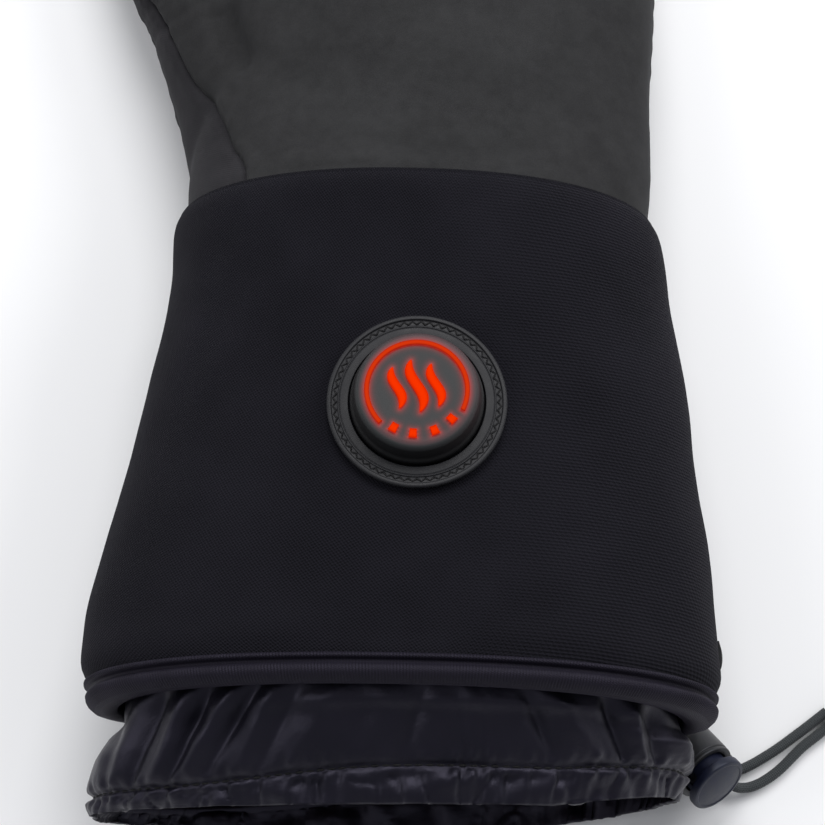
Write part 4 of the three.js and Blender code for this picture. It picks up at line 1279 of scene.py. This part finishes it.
def add_skirt_stitches(line):
    """Short stitches of thread along the gathered line."""
    smooth = line.copy()
    for _ in range(6):
        smooth = (np.roll(smooth, 1, axis=0) + smooth + np.roll(smooth, -1, axis=0)) / 3
    closed = np.concatenate([smooth, smooth[:1]])
    length = lengths_along(closed)
    out = outward(smooth[None])[0]
    out = np.concatenate([out, out[:1]])
    count = round(length[-1] / STITCH_STEP)
    rise = 0.28 * np.sin(np.linspace(0, np.pi, 6)) - 0.05
    tubes = []
    for k in range(count):
        at = (k + np.linspace(0.08, 0.72, 6)) * length[-1] / count
        middle, normal = (
            np.stack([np.interp(at, length, values[:, axis]) for axis in range(3)], axis=-1)
            for values in (closed, out)
        )
        tubes.append(tube_rings(middle + normal * rise[:, None], STITCH_RADIUS, THREAD_SIDES))
    mesh = make_mesh("skirt_stitches", *joined_tubes(tubes))
    return add_piece("skirt_stitches", mesh, THREAD, "nylon")


def puckered(rings, ys):
    """Short gathers on either side of the stitch line and along the hem, and the line drawn in."""
    share = np.arange(rings.shape[1]) / rings.shape[1]
    around = 2 * np.pi * share
    from_line = (ys - STITCH_LINE)[:, None]
    gather = np.sin(2 * np.pi * (GATHERS * share + 0.5 * np.sin(9 * around) + 0.02 * from_line))
    finer = np.sin(2 * np.pi * (FINE_GATHERS * share + 0.4 * np.sin(5 * around)))
    gather = 0.7 * gather + 0.45 * finer
    beside = np.exp(-((np.abs(from_line) - 1.8) / 1.7) ** 2)
    drawn = -1.0 * np.exp(-(from_line / 0.75) ** 2)
    below = smooth_step(0.5, 3.0, -from_line)
    creases = -0.9 * np.exp(-np.abs(ripple(rings * (1, 0.5, 1), 5, 24)) / 0.16)
    hem = below * (0.7 * ripple(rings, 5, 21) + creases)
    return moved_out(rings, 0.42 * gather * beside + drawn + hem + 0.22 * below * gather)


LINING_INSETS = table(
    "along inset",
    (0.125, 5.0),
    (0.30, 5.9),
    (0.55, 5.9),
    (0.80, 6.1),
    (1.00, 9.2),
)


def add_lining():
    """A fleece sleeve inside the skirt and the cuff."""
    angles = even_angles(LINING_SIDES)
    in_cuff = [moved_out(cuff_rings(along, angles), -inset) for along, inset in zip(*LINING_INSETS.values())]
    in_skirt = moved_out(skirt_rings(angles, np.array([-66.2, -70.1, -75.0, -80.0])), -6.2)
    stations = np.concatenate([*in_cuff, in_skirt])
    stations[:, :, 1] = stations[:, :1, 1]
    ys = np.linspace(stations[0, 0, 1], LINING_END, 110)
    rings = through(-stations[:, 0, 1], stations, -ys)
    down = smooth_step(-50, -66, ys)[:, None]
    rings[..., 1] = ys[:, None] - down * (run_out(rings[..., 2]) + EDGE_SKEW * rings[..., 0])
    rings = moved_out(rings, -0.25 + 0.22 * ripple(rings, 3.0, 31) - 0.3 * np.abs(ripple(rings, 11, 32)))
    inner = moved_out(rings, -LINING_WALL)
    turned = moved_out(rings[-1:], -LINING_WALL / 2)
    turned[..., 1] -= LINING_WALL / 2
    whole = np.concatenate([rings, turned, inner[::-1]])
    piece = add_rings("lining_fleece", whole, FLEECE, "lining_fleece", "lining", looped=True)


add_skirt()
add_lining()

# Hand

CLOSING = CUFF_WALL + SEAM_GAP
OPEN_END = WRIST_EDGE - HAND_TUCK
VALLEYS = table(
    "x1 y1 x2 y2 depth width",
    (-47.5, 106.0, -43.0, 93.0, 2.6, 3.4),
    (-42.0, 92.0, -30.0, 84.0, 0.8, 6.0),
    (-17.0, 88.0, 20.0, 77.0, 0.9, 6.5),
    (-38.0, 84.0, -14.0, 80.0, 0.7, 9.0),
    (42.0, 70.0, 51.0, 55.0, -0.5, 2.6),
    (37.0, 74.0, 45.0, 58.0, 0.35, 2.8),
    (-26.0, 66.5, 6.0, 63.0, 0.4, 2.4),
    (-30.0, 58.5, -12.0, 59.0, 1.3, 2.2),
    (24.0, 98.0, 34.0, 126.0, 0.6, 6.0),
    (-6.0, 100.0, -2.0, 128.0, 0.6, 6.0),
    (-30.0, 104.0, -24.0, 130.0, 0.5, 6.0),
)


CREASES = table(
    "along depth",
    (0.42, 0.55),
    (0.45, 0.40),
    (0.48, 0.50),
    (0.68, 0.50),
    (0.715, 0.40),
)
BACK_GROUP = 6
PALM_GROUP = 7


def palm_rings(angles, along):
    """The hand without its digits, from inside the cuff to just past the finger forks."""
    tucked = -(HAND_TUCK + 10) / PALM_LENGTH
    in_cuff = moved_out(cuff_rings([-tucked * PALM_LENGTH / CUFF_LENGTH, 0.0], angles), -CLOSING)
    column = columns(PALM_ROWS)
    x, z = oval(
        PALM_HALF_WIDTH * column["thumb"], PALM_HALF_WIDTH * column["little"],
        (WRIST_HEIGHT - CLOSING) * column["crown"], CLOSING * column["base"], angles[None, :],
    )
    y = WRIST_EDGE + PALM_LENGTH * column["along"] + 0 * x
    stations = np.concatenate([in_cuff, np.stack([x, y, z], axis=-1)])
    return through(np.concatenate([[tucked, 0.0], PALM_ROWS["along"]]), stations, along)


def digit_table():
    """The thumb and the four fingers, from the thumb's side to the little finger's."""
    digits = [{
        "foot": (-0.58 * PALM_HALF_WIDTH, WRIST_EDGE + 0.125 * PALM_LENGTH),
        "heading": math.radians(-THUMB_SPLAY), "width": THUMB_WIDTH, "length": THUMB_LENGTH,
        "root": THUMB_HEIGHT, "swell": THUMB_SWELL,
    }]
    fork = WRIST_EDGE + PALM_LENGTH
    for across, splay, width, length, back in zip(*FINGERS.values()):
        digits.append({
            "foot": (PALM_HALF_WIDTH * across, fork - FINGER_ROOT - PALM_LENGTH * back),
            "heading": math.radians(splay), "width": FINGER_WIDTH * width,
            "length": FINGER_LENGTH * length + FINGER_ROOT, "root": ROOT_HEIGHT, "swell": 0.0,
        })
    return digits


def heading_of(digit):
    """The way a digit points, seen from above."""
    return np.array([math.sin(digit["heading"]), math.cos(digit["heading"])])


def digit_place(digit, points):
    """How far points lie ahead of a digit's foot and to the little finger's side of its axis."""
    away = points[..., :2] - np.array(digit["foot"])
    ahead = heading_of(digit)
    return away @ ahead, away @ np.array([ahead[1], -ahead[0]])


def digit_rings(digit):
    """Rings from a digit's foot to its rounded tip, level with the floor."""
    along = np.concatenate([np.linspace(0, 0.84, 20), np.linspace(0.85, 1, 14)])[:, None]
    girth = read(DIGIT_ROWS, "girth", along[:, 0])[:, None]
    angle = np.arange(DIGIT_SIDES)[None, :] / DIGIT_SIDES * 2 * np.pi
    middle = mix(digit["root"], TIP_HEIGHT, along) / 2
    swell = 1 + digit["swell"] * np.maximum(0, 1 - 2 * along) ** 2
    across = np.cos(angle) * digit["width"] / 2 * girth * swell
    square = np.sign(np.sin(angle)) * np.abs(np.sin(angle)) ** 0.85
    up = np.maximum(-middle, square * middle * girth * 1.04)
    reach = along * digit["length"] + 0 * angle
    ahead = heading_of(digit)
    x = digit["foot"][0] + ahead[0] * reach + ahead[1] * across
    y = digit["foot"][1] + ahead[1] * reach - ahead[0] * across
    return np.stack([x, y, middle + up], axis=-1)


def fused(tubes):
    """One smooth skin round overlapping closed tubes. Returns its points and triangles."""
    piece = link(bpy.data.objects.new("fused", make_mesh("fused", *joined_tubes(tubes))))
    remesh = piece.modifiers.new("skin", "REMESH")
    remesh.mode = "VOXEL"
    remesh.voxel_size = HAND_VOXEL * MM
    made = evaluated(piece)
    made.calc_loop_triangles()
    triangles = np.empty(len(made.loop_triangles) * 3, np.int32)
    made.loop_triangles.foreach_get("vertices", triangles)
    skin = points_of(made)
    bpy.data.meshes.remove(made)
    drop(piece)
    return skin, triangles.reshape(-1, 3).astype(int)


def corner_pairs(triangles):
    """Each triangle's three sides, as pairs of points in its own direction."""
    return np.concatenate([triangles[:, [0, 1]], triangles[:, [1, 2]], triangles[:, [2, 0]]])


def edges_of(triangles):
    """Each edge once, as pairs of points in rising order."""
    return np.unique(np.sort(corner_pairs(triangles), axis=1), axis=0)


def smoothed(points, triangles, steps):
    """Evens out a skin without shrinking it: each step draws points in and the next lets them out."""
    edges = edges_of(triangles)
    count = np.bincount(edges.ravel(), minlength=len(points))[:, None]
    for step in range(2 * steps):
        total = np.zeros_like(points)
        for k in range(3):
            total[:, k] = np.bincount(edges[:, 0], points[edges[:, 1], k], len(points))
            total[:, k] += np.bincount(edges[:, 1], points[edges[:, 0], k], len(points))
        points = points + (total / count - points) * (0.5 if step % 2 == 0 else -0.53)
    return points


def cut(points, triangles, field):
    """Splits triangles along the line where a field is zero. Points close to the line first move on to it."""
    value = field(points)
    edges = edges_of(triangles)
    a, b = edges[:, 0], edges[:, 1]
    crossing = value[a] * value[b] < 0
    a, b = a[crossing], b[crossing]
    share = value[a] / (value[a] - value[b])
    points, value = points.copy(), value.copy()
    who = np.concatenate([a, b])
    how_far = np.concatenate([share, 1 - share])
    place = np.concatenate([points[a] + (points[b] - points[a]) * share[:, None]] * 2)
    near = how_far < 0.3
    who = who[near]
    how_far = how_far[near]
    place = place[near]
    order = np.argsort(-how_far, kind="stable")
    points[who[order]] = place[order]
    value[who] = 0
    crossing = value[edges[:, 0]] * value[edges[:, 1]] < 0
    split = edges[crossing]
    share = value[split[:, 0]] / (value[split[:, 0]] - value[split[:, 1]])
    added = points[split[:, 0]] + (points[split[:, 1]] - points[split[:, 0]]) * share[:, None]
    new_index = {tuple(pair): len(points) + k for k, pair in enumerate(split.tolist())}
    points = np.concatenate([points, added])
    value = np.concatenate([value, np.zeros(len(added))])
    sign = np.sign(value)
    corner = sign[triangles]
    mixed = (corner.min(axis=1) < 0) & (corner.max(axis=1) > 0)
    made = []
    for face in triangles[mixed].tolist():
        signs = [sign[k] for k in face]
        between = [new_index.get(tuple(sorted((face[k], face[(k + 1) % 3])))) for k in range(3)]
        if 0 in signs:
            k = signs.index(0)
            v0, v1, v2, m = face[k], face[(k + 1) % 3], face[(k + 2) % 3], between[(k + 1) % 3]
            made += [(v0, v1, m), (v0, m, v2)]
        else:
            k = next(i for i in range(3) if signs.count(signs[i]) == 1)
            v0, v1, v2 = face[k], face[(k + 1) % 3], face[(k + 2) % 3]
            m1, m2 = between[k], between[(k + 2) % 3]
            made += [(v0, m1, m2), (m1, v1, v2), (m1, v2, m2)]
    triangles = np.concatenate([triangles[~mixed], np.array(made, int).reshape(-1, 3)])
    return points, triangles, np.flatnonzero(value == 0)


def hand_crown(along):
    """Crown height of the hand at a place along it, which the seams follow."""
    palm = (WRIST_HEIGHT - CLOSING) * np.interp(along, PALM_ROWS["along"], PALM_ROWS["crown"])
    finger = mix(ROOT_HEIGHT, TIP_HEIGHT, np.clip((along - 1) * PALM_LENGTH / FINGER_LENGTH, 0, 1))
    return mix(palm, finger, np.clip((along - 0.92) / 0.16, 0, 1))


def above_back_seam(points):
    """Height over the seam between the back and the side panels."""
    along = (points[:, 1] - WRIST_EDGE) / PALM_LENGTH
    share = np.clip((points[:, 0] + BACK_SEAM_BLEND) / (2 * BACK_SEAM_BLEND), 0, 1)
    edge = mix(read(BACK_SEAM_ROWS, "thumb", along), read(BACK_SEAM_ROWS, "little", along), share)
    return points[:, 2] - hand_crown(along) * edge


def above_palm_seam(points):
    """Height over the seam between the palm and the side panels."""
    along = (points[:, 1] - WRIST_EDGE) / PALM_LENGTH
    return points[:, 2] - hand_crown(along) * PALM_SEAM_SHARE


def nearest(points, seeds, most):
    """Distance from each point to the nearest seed, up to a limit."""
    tree = KDTree(len(seeds))
    for k, seed in enumerate(seeds):
        tree.insert(seed, k)
    tree.balance()
    box = (points > seeds.min(axis=0) - most).all(axis=1) & (points < seeds.max(axis=0) + most).all(axis=1)
    found = np.full(len(points), float(most))
    found[box] = [min(most, tree.find(p)[2]) for p in points[box]]
    return found


def valley_depth(points, normals):
    """Sum of the soft valleys over the back of the hand."""
    depth = np.zeros(len(points))
    for x1, y1, x2, y2, deep, width in zip(*VALLEYS.values()):
        start, along = np.array([x1, y1]), np.array([x2 - x1, y2 - y1])
        share = np.clip((points[:, :2] - start) @ along / (along @ along), 0, 1)
        away = points[:, :2] - start - share[:, None] * along
        far = np.linalg.norm(away, axis=1) / width
        depth += deep * np.exp(-far ** 2)
    return depth * smooth_step(0.0, 0.5, normals[:, 2])


def finger_creases(points, digits):
    """Creases across the finger joints, on the back and on the palm side."""
    depth = np.zeros(len(points))
    for digit in digits:
        ahead, aside = digit_place(digit, points)
        inside = np.abs(aside) < digit["width"] * 0.62
        bend = 2.2 * (aside / digit["width"]) ** 2
        for share, amount in zip(*CREASES.values()):
            line = ahead - digit["length"] * share - bend
            depth += inside * amount * np.exp(-(line / 1.5) ** 2)
    return depth


def outline_pairs(triangles):
    """Edges that only one triangle has, in that triangle's direction."""
    pairs = corner_pairs(triangles)
    _, first, count = np.unique(np.sort(pairs, axis=1), axis=0, return_index=True, return_counts=True)
    return pairs[first[count == 1]]


def thick_mesh(name, outer, inner, triangles):
    """A closed mesh between an outer and an inner skin, for some of the skin's triangles."""
    used, local = np.unique(triangles, return_inverse=True)
    local = local.reshape(-1, 3)
    size = len(used)
    rim = outline_pairs(local)
    walls = np.stack([rim[:, 1], rim[:, 0], rim[:, 0] + size, rim[:, 1] + size], axis=1)
    faces = local.tolist() + (local[:, ::-1] + size).tolist() + walls.tolist()
    points = np.concatenate([outer[used], inner[used]])
    return make_mesh(name, points, faces)


def skin_of_hand(digits):
    """One skin for the whole hand, split along its seams and open at the wrist, with the seams' points."""
    palm = palm_rings(even_angles(PALM_SIDES), np.linspace(-(HAND_TUCK + 10) / PALM_LENGTH, 1.02, 110))
    points, triangles = fused([palm] + [digit_rings(digit) for digit in digits])
    points = smoothed(points, triangles, 6)
    seams = []
    for field in (above_back_seam, above_palm_seam):
        points, triangles, on_line = cut(points, triangles, field)
        seams.append(points[on_line])
    points, triangles, _ = cut(points, triangles, lambda p: p[:, 1] - OPEN_END)
    for digit in digits:
        def at_tip(p, digit=digit):
            """The digit's two sides near its tip, and no change of sign elsewhere on it."""
            ahead, aside = digit_place(digit, p)
            near = (ahead > 0.8 * digit["length"]) & (np.abs(aside) < digit["width"])
            return np.where(near, aside, np.where(aside > 0, 9.0, -9.0) * 1e3)
        points, triangles, on_line = cut(points, triangles, at_tip)
        between = points[on_line]
        seams.append(between[(above_back_seam(between) < 0) & (above_palm_seam(between) > 0)])
    triangles = triangles[points[triangles].mean(axis=1)[:, 1] > OPEN_END]
    return points, triangles, np.concatenate(seams)


def make_hand():
    """The hand's outer and inner skins, its triangles and the panel that each one belongs to."""
    digits = digit_table()
    points, triangles, seams = skin_of_hand(digits)
    middle = points[triangles].mean(axis=1)
    side = sum((digit_place(digit, middle)[1] > 0).astype(int) for digit in digits)
    group = np.where(above_palm_seam(middle) < 0, PALM_GROUP, side)
    group = np.where(above_back_seam(middle) > 0, BACK_GROUP, group)
    normals = triangle_normals(points, triangles)
    far = nearest(points, seams, 12.0)
    seam = -0.85 * np.exp(-((far / 0.9) ** 2)) + 0.28 * np.exp(-(((far - 2.8) / 1.5) ** 2))
    pucker = 0.16 * np.exp(-(((far - 2.0) / 1.8) ** 2)) * ripple(points, 2.6, 41)
    puff = 0.5 * smooth_step(0, 11, far) - 0.5
    outside = smooth_step(WRIST_EDGE - 4, WRIST_EDGE + 8, points[:, 1])
    soft = 0.45 * ripple(points, 26, 42) + 0.16 * ripple(points, 9, 43)
    folds = -valley_depth(points, normals) - finger_creases(points, digits)
    out = seam + pucker + puff * outside + (soft + folds) * mix(0.15, 1.0, outside)
    points = points + normals * out[:, None]
    points[:, 2] = np.maximum(points[:, 2], 0.03)
    return points, points - triangle_normals(points, triangles) * HAND_WALL, triangles, group


def add_hand():
    """The eight panels of the hand, each one a padded piece."""
    outer, inner, triangles, group = make_hand()
    between = (
        "thumb_outer_gusset", "thumb_index_gusset", "fourchette_index_middle", "fourchette_middle_ring",
        "fourchette_ring_little", "little_side_gusset",
    )
    looks = (
        (BACK_GROUP, "back_panel", SOFTSHELL, "softshell"),
        (PALM_GROUP, "palm_panel", PALM_FABRIC, "palm_fabric"),
        *((k, node, SIDE_FABRIC, "side_fabric") for k, node in enumerate(between)),
    )
    for number, node, material, slot in looks:
        mesh = thick_mesh(f"{node}_cloth", outer, inner, triangles[group == number])
        piece = add_piece(f"{node}_cloth", mesh, material, slot, node)


add_hand()

# Heat button


def add_values(mesh, **values):
    """Stores one number a point under each name."""
    for name, numbers in values.items():
        layer = mesh.attributes.new(name, "FLOAT", "POINT")
        layer.data.foreach_set("value", np.asarray(numbers, np.float32).ravel())


def draped(points):
    """Lays points over the cuff's skin."""
    out = points.copy()
    out[..., 2] += crown_height(points[..., 0], points[..., 1]) + SEAM_GAP
    return out


CHANNEL_OUT = PLATE_RADIUS - PLATE_LIP
CHANNEL_IN = CHANNEL_OUT - STITCH_CHANNEL
ZIGZAGS = 60


def add_button_plate():
    """The stitched backing: a raised rim, a channel for the stitches, an inner line and a flat body."""
    hole = CAP_FOOT_RADIUS + SEAM_GAP
    floor = PLATE_HEIGHT - CHANNEL_DEPTH
    body = PLATE_HEIGHT - 0.15
    profile = rounded([
        (hole, 0.1), (PLATE_RADIUS, 0.1), (PLATE_RADIUS, PLATE_HEIGHT * 0.8),
        (PLATE_RADIUS - 0.35, PLATE_HEIGHT), (CHANNEL_OUT + 0.05, PLATE_HEIGHT),
        (CHANNEL_OUT - 0.1, floor), (CHANNEL_IN + 0.1, floor),
        (CHANNEL_IN, body), (CHANNEL_IN - 0.22, body), (CHANNEL_IN - 0.38, body - 0.25),
        (CHANNEL_IN - 0.55, body), (hole + 0.1, body), (hole, 0.2),
    ], 0.18, 4)
    mesh = faced_mesh("button_backing", draped(lathe(profile, PLATE_SIDES)), looped=True)
    add_piece("button_backing", mesh, SILICONE, "silicone", "button_plate")


def add_button_stitches():
    """A zig-zag of thread in the plate's channel."""
    steps = 6 * ZIGZAGS
    angle = np.arange(steps) / steps * 2 * np.pi
    beat = np.arange(steps) / 6 % 1
    zigzag = 1 - 4 * np.abs(beat - 0.5)
    radius = (CHANNEL_OUT + CHANNEL_IN) / 2 + 0.34 * zigzag
    height = PLATE_HEIGHT - CHANNEL_DEPTH + 0.1 * np.cos(2 * np.pi * beat) + 0.05
    line = draped(np.stack([radius * np.cos(angle), radius * np.sin(angle), height], axis=-1))
    tangent = np.roll(line, -1, axis=0) - np.roll(line, 1, axis=0)
    tangent /= np.linalg.norm(tangent, axis=1, keepdims=True)
    side = np.cross(tangent, (0, 0, 1.0))
    side /= np.linalg.norm(side, axis=1, keepdims=True)
    up = np.cross(side, tangent)
    turn = np.arange(THREAD_SIDES) / THREAD_SIDES * 2 * np.pi
    ring = np.cos(turn)[None, :, None] * side[:, None] + np.sin(turn)[None, :, None] * up[:, None]
    mesh = faced_mesh("button_stitches", line[:, None] + 0.2 * ring, looped=True)
    add_piece("button_stitches", mesh, THREAD, "tab_webbing")


CAP_SLOPE = -math.atan2(
    float(crown_height(0, -CAP_FOOT_RADIUS) - crown_height(0, CAP_FOOT_RADIUS)), 2 * CAP_FOOT_RADIUS)
CAP_PLACE = np.array([0, 0, float(crown_height(0, 0)) + SEAM_GAP * 1.3])


def on_button(points):
    """Points of the tilted cap's own frame in the part's frame."""
    c, s = math.cos(CAP_SLOPE), math.sin(CAP_SLOPE)
    turned = np.array([[1, 0, 0], [0, c, -s], [0, s, c]])
    return np.asarray(points, float) @ turned.T + CAP_PLACE


def band(outer, stroke, start, end, steps):
    """Both edges of an arc of a ring."""
    angle = np.radians(np.linspace(start, end, steps))
    ray = np.stack([np.cos(angle), np.sin(angle)], axis=-1)
    return ray * outer, ray * (outer - stroke)


def wave(across, top, bottom, width):
    """Both edges of a rising heat wave: an S-shaped stroke that swells in its middle."""
    u = np.linspace(0.004, 0.996, 40)
    x = across - (top - bottom) * 0.13 * np.cos(np.pi * (u - 0.15) / 0.64)
    half = width / 2 * np.sin(np.pi * u) ** 0.6
    y = mix(top, bottom, u)
    right, left = np.stack([x + half, y], axis=-1), np.stack([x - half, y], axis=-1)
    return right * SYMBOL_RADIUS, left * SYMBOL_RADIUS


def symbols():
    """Name, edges and look of each lit symbol."""
    thin = 0.14
    edges = band(SYMBOL_RADIUS - thin, SYMBOL_STROKE - 2 * thin, RING_START, RING_END, 150)
    made = [("power_ring", *edges, RING_LIT)]
    for k, row in enumerate(zip(*WAVES.values())):
        made.append((f"heat_wave_{k + 1}", *wave(*row), WAVE_LIT))
    span = math.degrees(LEVEL_WIDTH / (LEVEL_RADIUS - LEVEL_HEIGHT / 2))
    for k, angle in enumerate(LEVEL_ANGLES):
        edges = band(LEVEL_RADIUS, LEVEL_HEIGHT, angle - span / 2, angle + span / 2, 12)
        made.append((f"level_bar_{k + 1}", *edges, WAVE_LIT))
    return made


def add_symbols():
    """Each lit symbol as a low lens on the cap's face, with how near each point is to its rim."""
    for name, right, left, material in symbols():
        share = np.linspace(0, 1, 9)[None, :, None]
        flat = right[:, None] + (left - right)[:, None] * share
        edge = np.abs(2 * share[..., 0] - 1) + 0 * flat[..., 0]
        count = len(right)
        from_end = np.minimum(np.arange(count), np.arange(count)[::-1])[:, None]
        step = np.linalg.norm(np.diff((right + left) / 2, axis=0), axis=1).mean()
        edge = np.maximum(edge, 1 - from_end * step / 0.5)
        low = CAP_HEIGHT + SEAM_GAP
        high = low + SYMBOL_RELIEF * (1 - 0.45 * np.clip(edge, 0, 1) ** 4)
        top = on_button(np.concatenate([flat, high[..., None]], axis=-1))
        under = on_button(np.concatenate([flat, np.full(high.shape, low)[..., None]], axis=-1))
        mesh = make_mesh(f"{name}_lit", *slab(top, under))
        add_values(mesh, rim=np.concatenate([edge.ravel(), np.ones(edge.size)]) ** 3)
        add_piece(f"{name}_lit", mesh, material, "lit_symbol", name)


def add_cap():
    """The push cap: a beaded foot, a wall with painted shade, a rounded rim and a face that the lamps tint,
    with a painted red glow on the rim and on one side.
    """
    face = CAP_FACE_RADIUS - 1.0
    wall = rounded([
        (0, 0), (CAP_FOOT_RADIUS, 0), (CAP_FOOT_RADIUS - 0.05, PLATE_HEIGHT * 1.15),
        (CAP_FOOT_RADIUS - 0.7, PLATE_HEIGHT * 1.6), (CAP_FACE_RADIUS + 0.75, CAP_HEIGHT - 1.3),
        (CAP_FACE_RADIUS + 0.1, CAP_HEIGHT - 0.25), (face, CAP_HEIGHT),
    ], 0.5, 6)
    inner = np.stack([np.linspace(face, 0, 74)[1:], np.full(73, CAP_HEIGHT)], axis=-1)
    flat = lathe(np.concatenate([wall, inner]), CAP_SIDES)
    grid = flat[..., :2].reshape(-1, 2)
    seeds = []
    for _, right, left, _ in symbols():
        for share in (0.1, 0.5, 0.9):
            seeds.append(right + (left - right) * share)
    seeds = np.concatenate(seeds)
    seeds = np.concatenate([seeds, np.zeros((len(seeds), 1))], axis=1)
    far = nearest(np.concatenate([grid, np.zeros((len(grid), 1))], axis=1), seeds, 6.0)
    radius = np.linalg.norm(grid, axis=1)
    height = flat[..., 2].ravel()
    on_face = smooth_step(CAP_HEIGHT - 0.3, CAP_HEIGHT, height)
    near = np.exp(-far / 0.95) * on_face
    # Painted glow: a red glow over the outer face and rim, strongest towards one heading.
    heading = np.degrees(np.arctan2(grid[:, 1], grid[:, 0]))
    from_glow = abs(heading - PAINTED_GLOW_HEADING)
    lit_side = np.exp(-((np.minimum(from_glow, 360 - from_glow) / PAINTED_GLOW_REACH) ** 2))
    outer = smooth_step(CAP_FACE_RADIUS - 2.8, CAP_FACE_RADIUS - 0.4, radius) * smooth_step(1.5, 6.0, height)
    wash = outer * (0.5 * on_face + 0.5 * lit_side)
    # Painted shade: the wall darkens below the face, least on the side of the painted glow.
    dark = (1 - smooth_step(CAP_HEIGHT - 2.2, CAP_HEIGHT - 0.5, height)) * (1 - 0.75 * lit_side)
    dark = np.where(height > CAP_HEIGHT - 0.01, 0, dark)
    mesh = faced_mesh("button_push", on_button(flat))
    add_values(mesh, near_light=near, wash=wash, wall=dark)
    add_piece("button_push", mesh, CAP, "silicone_cap", "button_cap")


add_button_plate()
add_button_stitches()
add_cap()
add_symbols()

# Cord lock


def slot_rings(spare):
    """Two rings of the cords' slot, one on each side of the lock. Spare is room for a stroke."""
    length = CORD_SPACING + 2 * CORD_RADIUS + 1 + spare
    width = 2 * CORD_RADIUS + 0.8
    corner = np.linspace(0, 0.5 * np.pi, 7)
    quarter = np.stack([np.cos(corner), np.sin(corner)], axis=-1) * width * 0.45
    outline = []
    for k, (sx, sy) in enumerate(((1, 1), (-1, 1), (-1, -1), (1, -1))):
        turn = k * np.pi / 2
        spin = np.array([[math.cos(turn), -math.sin(turn)], [math.sin(turn), math.cos(turn)]])
        middle = np.array([sx * (length / 2 - width * 0.45), sy * (width / 2 - width * 0.45)])
        outline.append(middle + quarter @ spin.T)
    outline = np.concatenate(outline)
    outline[:, 0] += CORD_STATION + spare / 2
    heights = np.full((len(outline), 1), 2 * LOCK_RADIUS)
    return np.stack([np.concatenate([outline, side * heights], axis=1) for side in (-1, 1)])


def turned_body(name, profile, spare):
    """A body turned round the lock's own X from a profile of radius and place, with the cords' slot cut."""
    rings = lathe(profile, LOCK_SIDES)
    rings = in_lock(np.stack([rings[..., 2], rings[..., 0], rings[..., 1]], axis=-1))
    body = link(bpy.data.objects.new(name, faced_mesh(name, rings)))
    slot = make_mesh("slot", *joined_tubes([in_lock(slot_rings(spare))]))
    cutter = link(bpy.data.objects.new("slot", slot))
    made = body.modifiers.new("slot", "BOOLEAN")
    made.operation = "DIFFERENCE"
    made.solver = "EXACT"
    made.object = cutter
    done = evaluated(body)
    drop(body)
    drop(cutter)
    done.name = name
    done.shade_smooth()
    done.set_sharp_from_angle(angle=math.radians(42))
    return done


def add_lock():
    """The lock's barrel with its collar, and the domed button that slides in it."""
    floor = -LOCK_END + LOCK_WALL
    shell = rounded([
        (0, -LOCK_END), (LOCK_RADIUS, -LOCK_END), (LOCK_RADIUS, -LOCK_START - 1.35),
        (LOCK_RADIUS - 0.35, -LOCK_START - 1.15), (LOCK_RADIUS - 0.35, -LOCK_START - 0.95),
        (LOCK_RADIUS - 0.05, -LOCK_START - 0.75), (LOCK_RADIUS - 0.05, -LOCK_START),
        (LOCK_BORE, -LOCK_START), (LOCK_BORE, floor), (0, floor),
    ], 0.8, 6)
    mesh = turned_body("lock_shell", shell, 0.0)
    add_piece("lock_shell", mesh, BARREL_PLASTIC, "lock_plastic", "lock_barrel")
    stem_end = floor + PLUNGER_GAP + PLUNGER_PLAY
    stem = LOCK_BORE - PLUNGER_PLAY
    head = LOCK_RADIUS - PLUNGER_PLAY / 2
    body = rounded([
        (0, stem_end), (stem, stem_end), (stem, -PLUNGER_HEAD), (head, -PLUNGER_HEAD), (head, -0.9)], 0.4, 5)
    rim = rounded([(head, -0.9), (head - 0.15, -0.3), (head - 0.95, -0.1), (head - 1.2, -0.28)], 0.4, 5)
    reach = np.linspace(head - 1.2, 0, 26)[1:]
    rise = -0.28 + 0.75 * (1 - (reach / (head - 1.2)) ** 2)
    dome = np.stack([reach, rise], axis=-1)
    mesh = turned_body("lock_button", np.concatenate([body[:-1], rim, dome]), PLUNGER_GAP)
    add_piece("lock_button", mesh, PLUNGER_PLASTIC, "plunger_plastic", "lock_plunger", body="plunger")


add_lock()
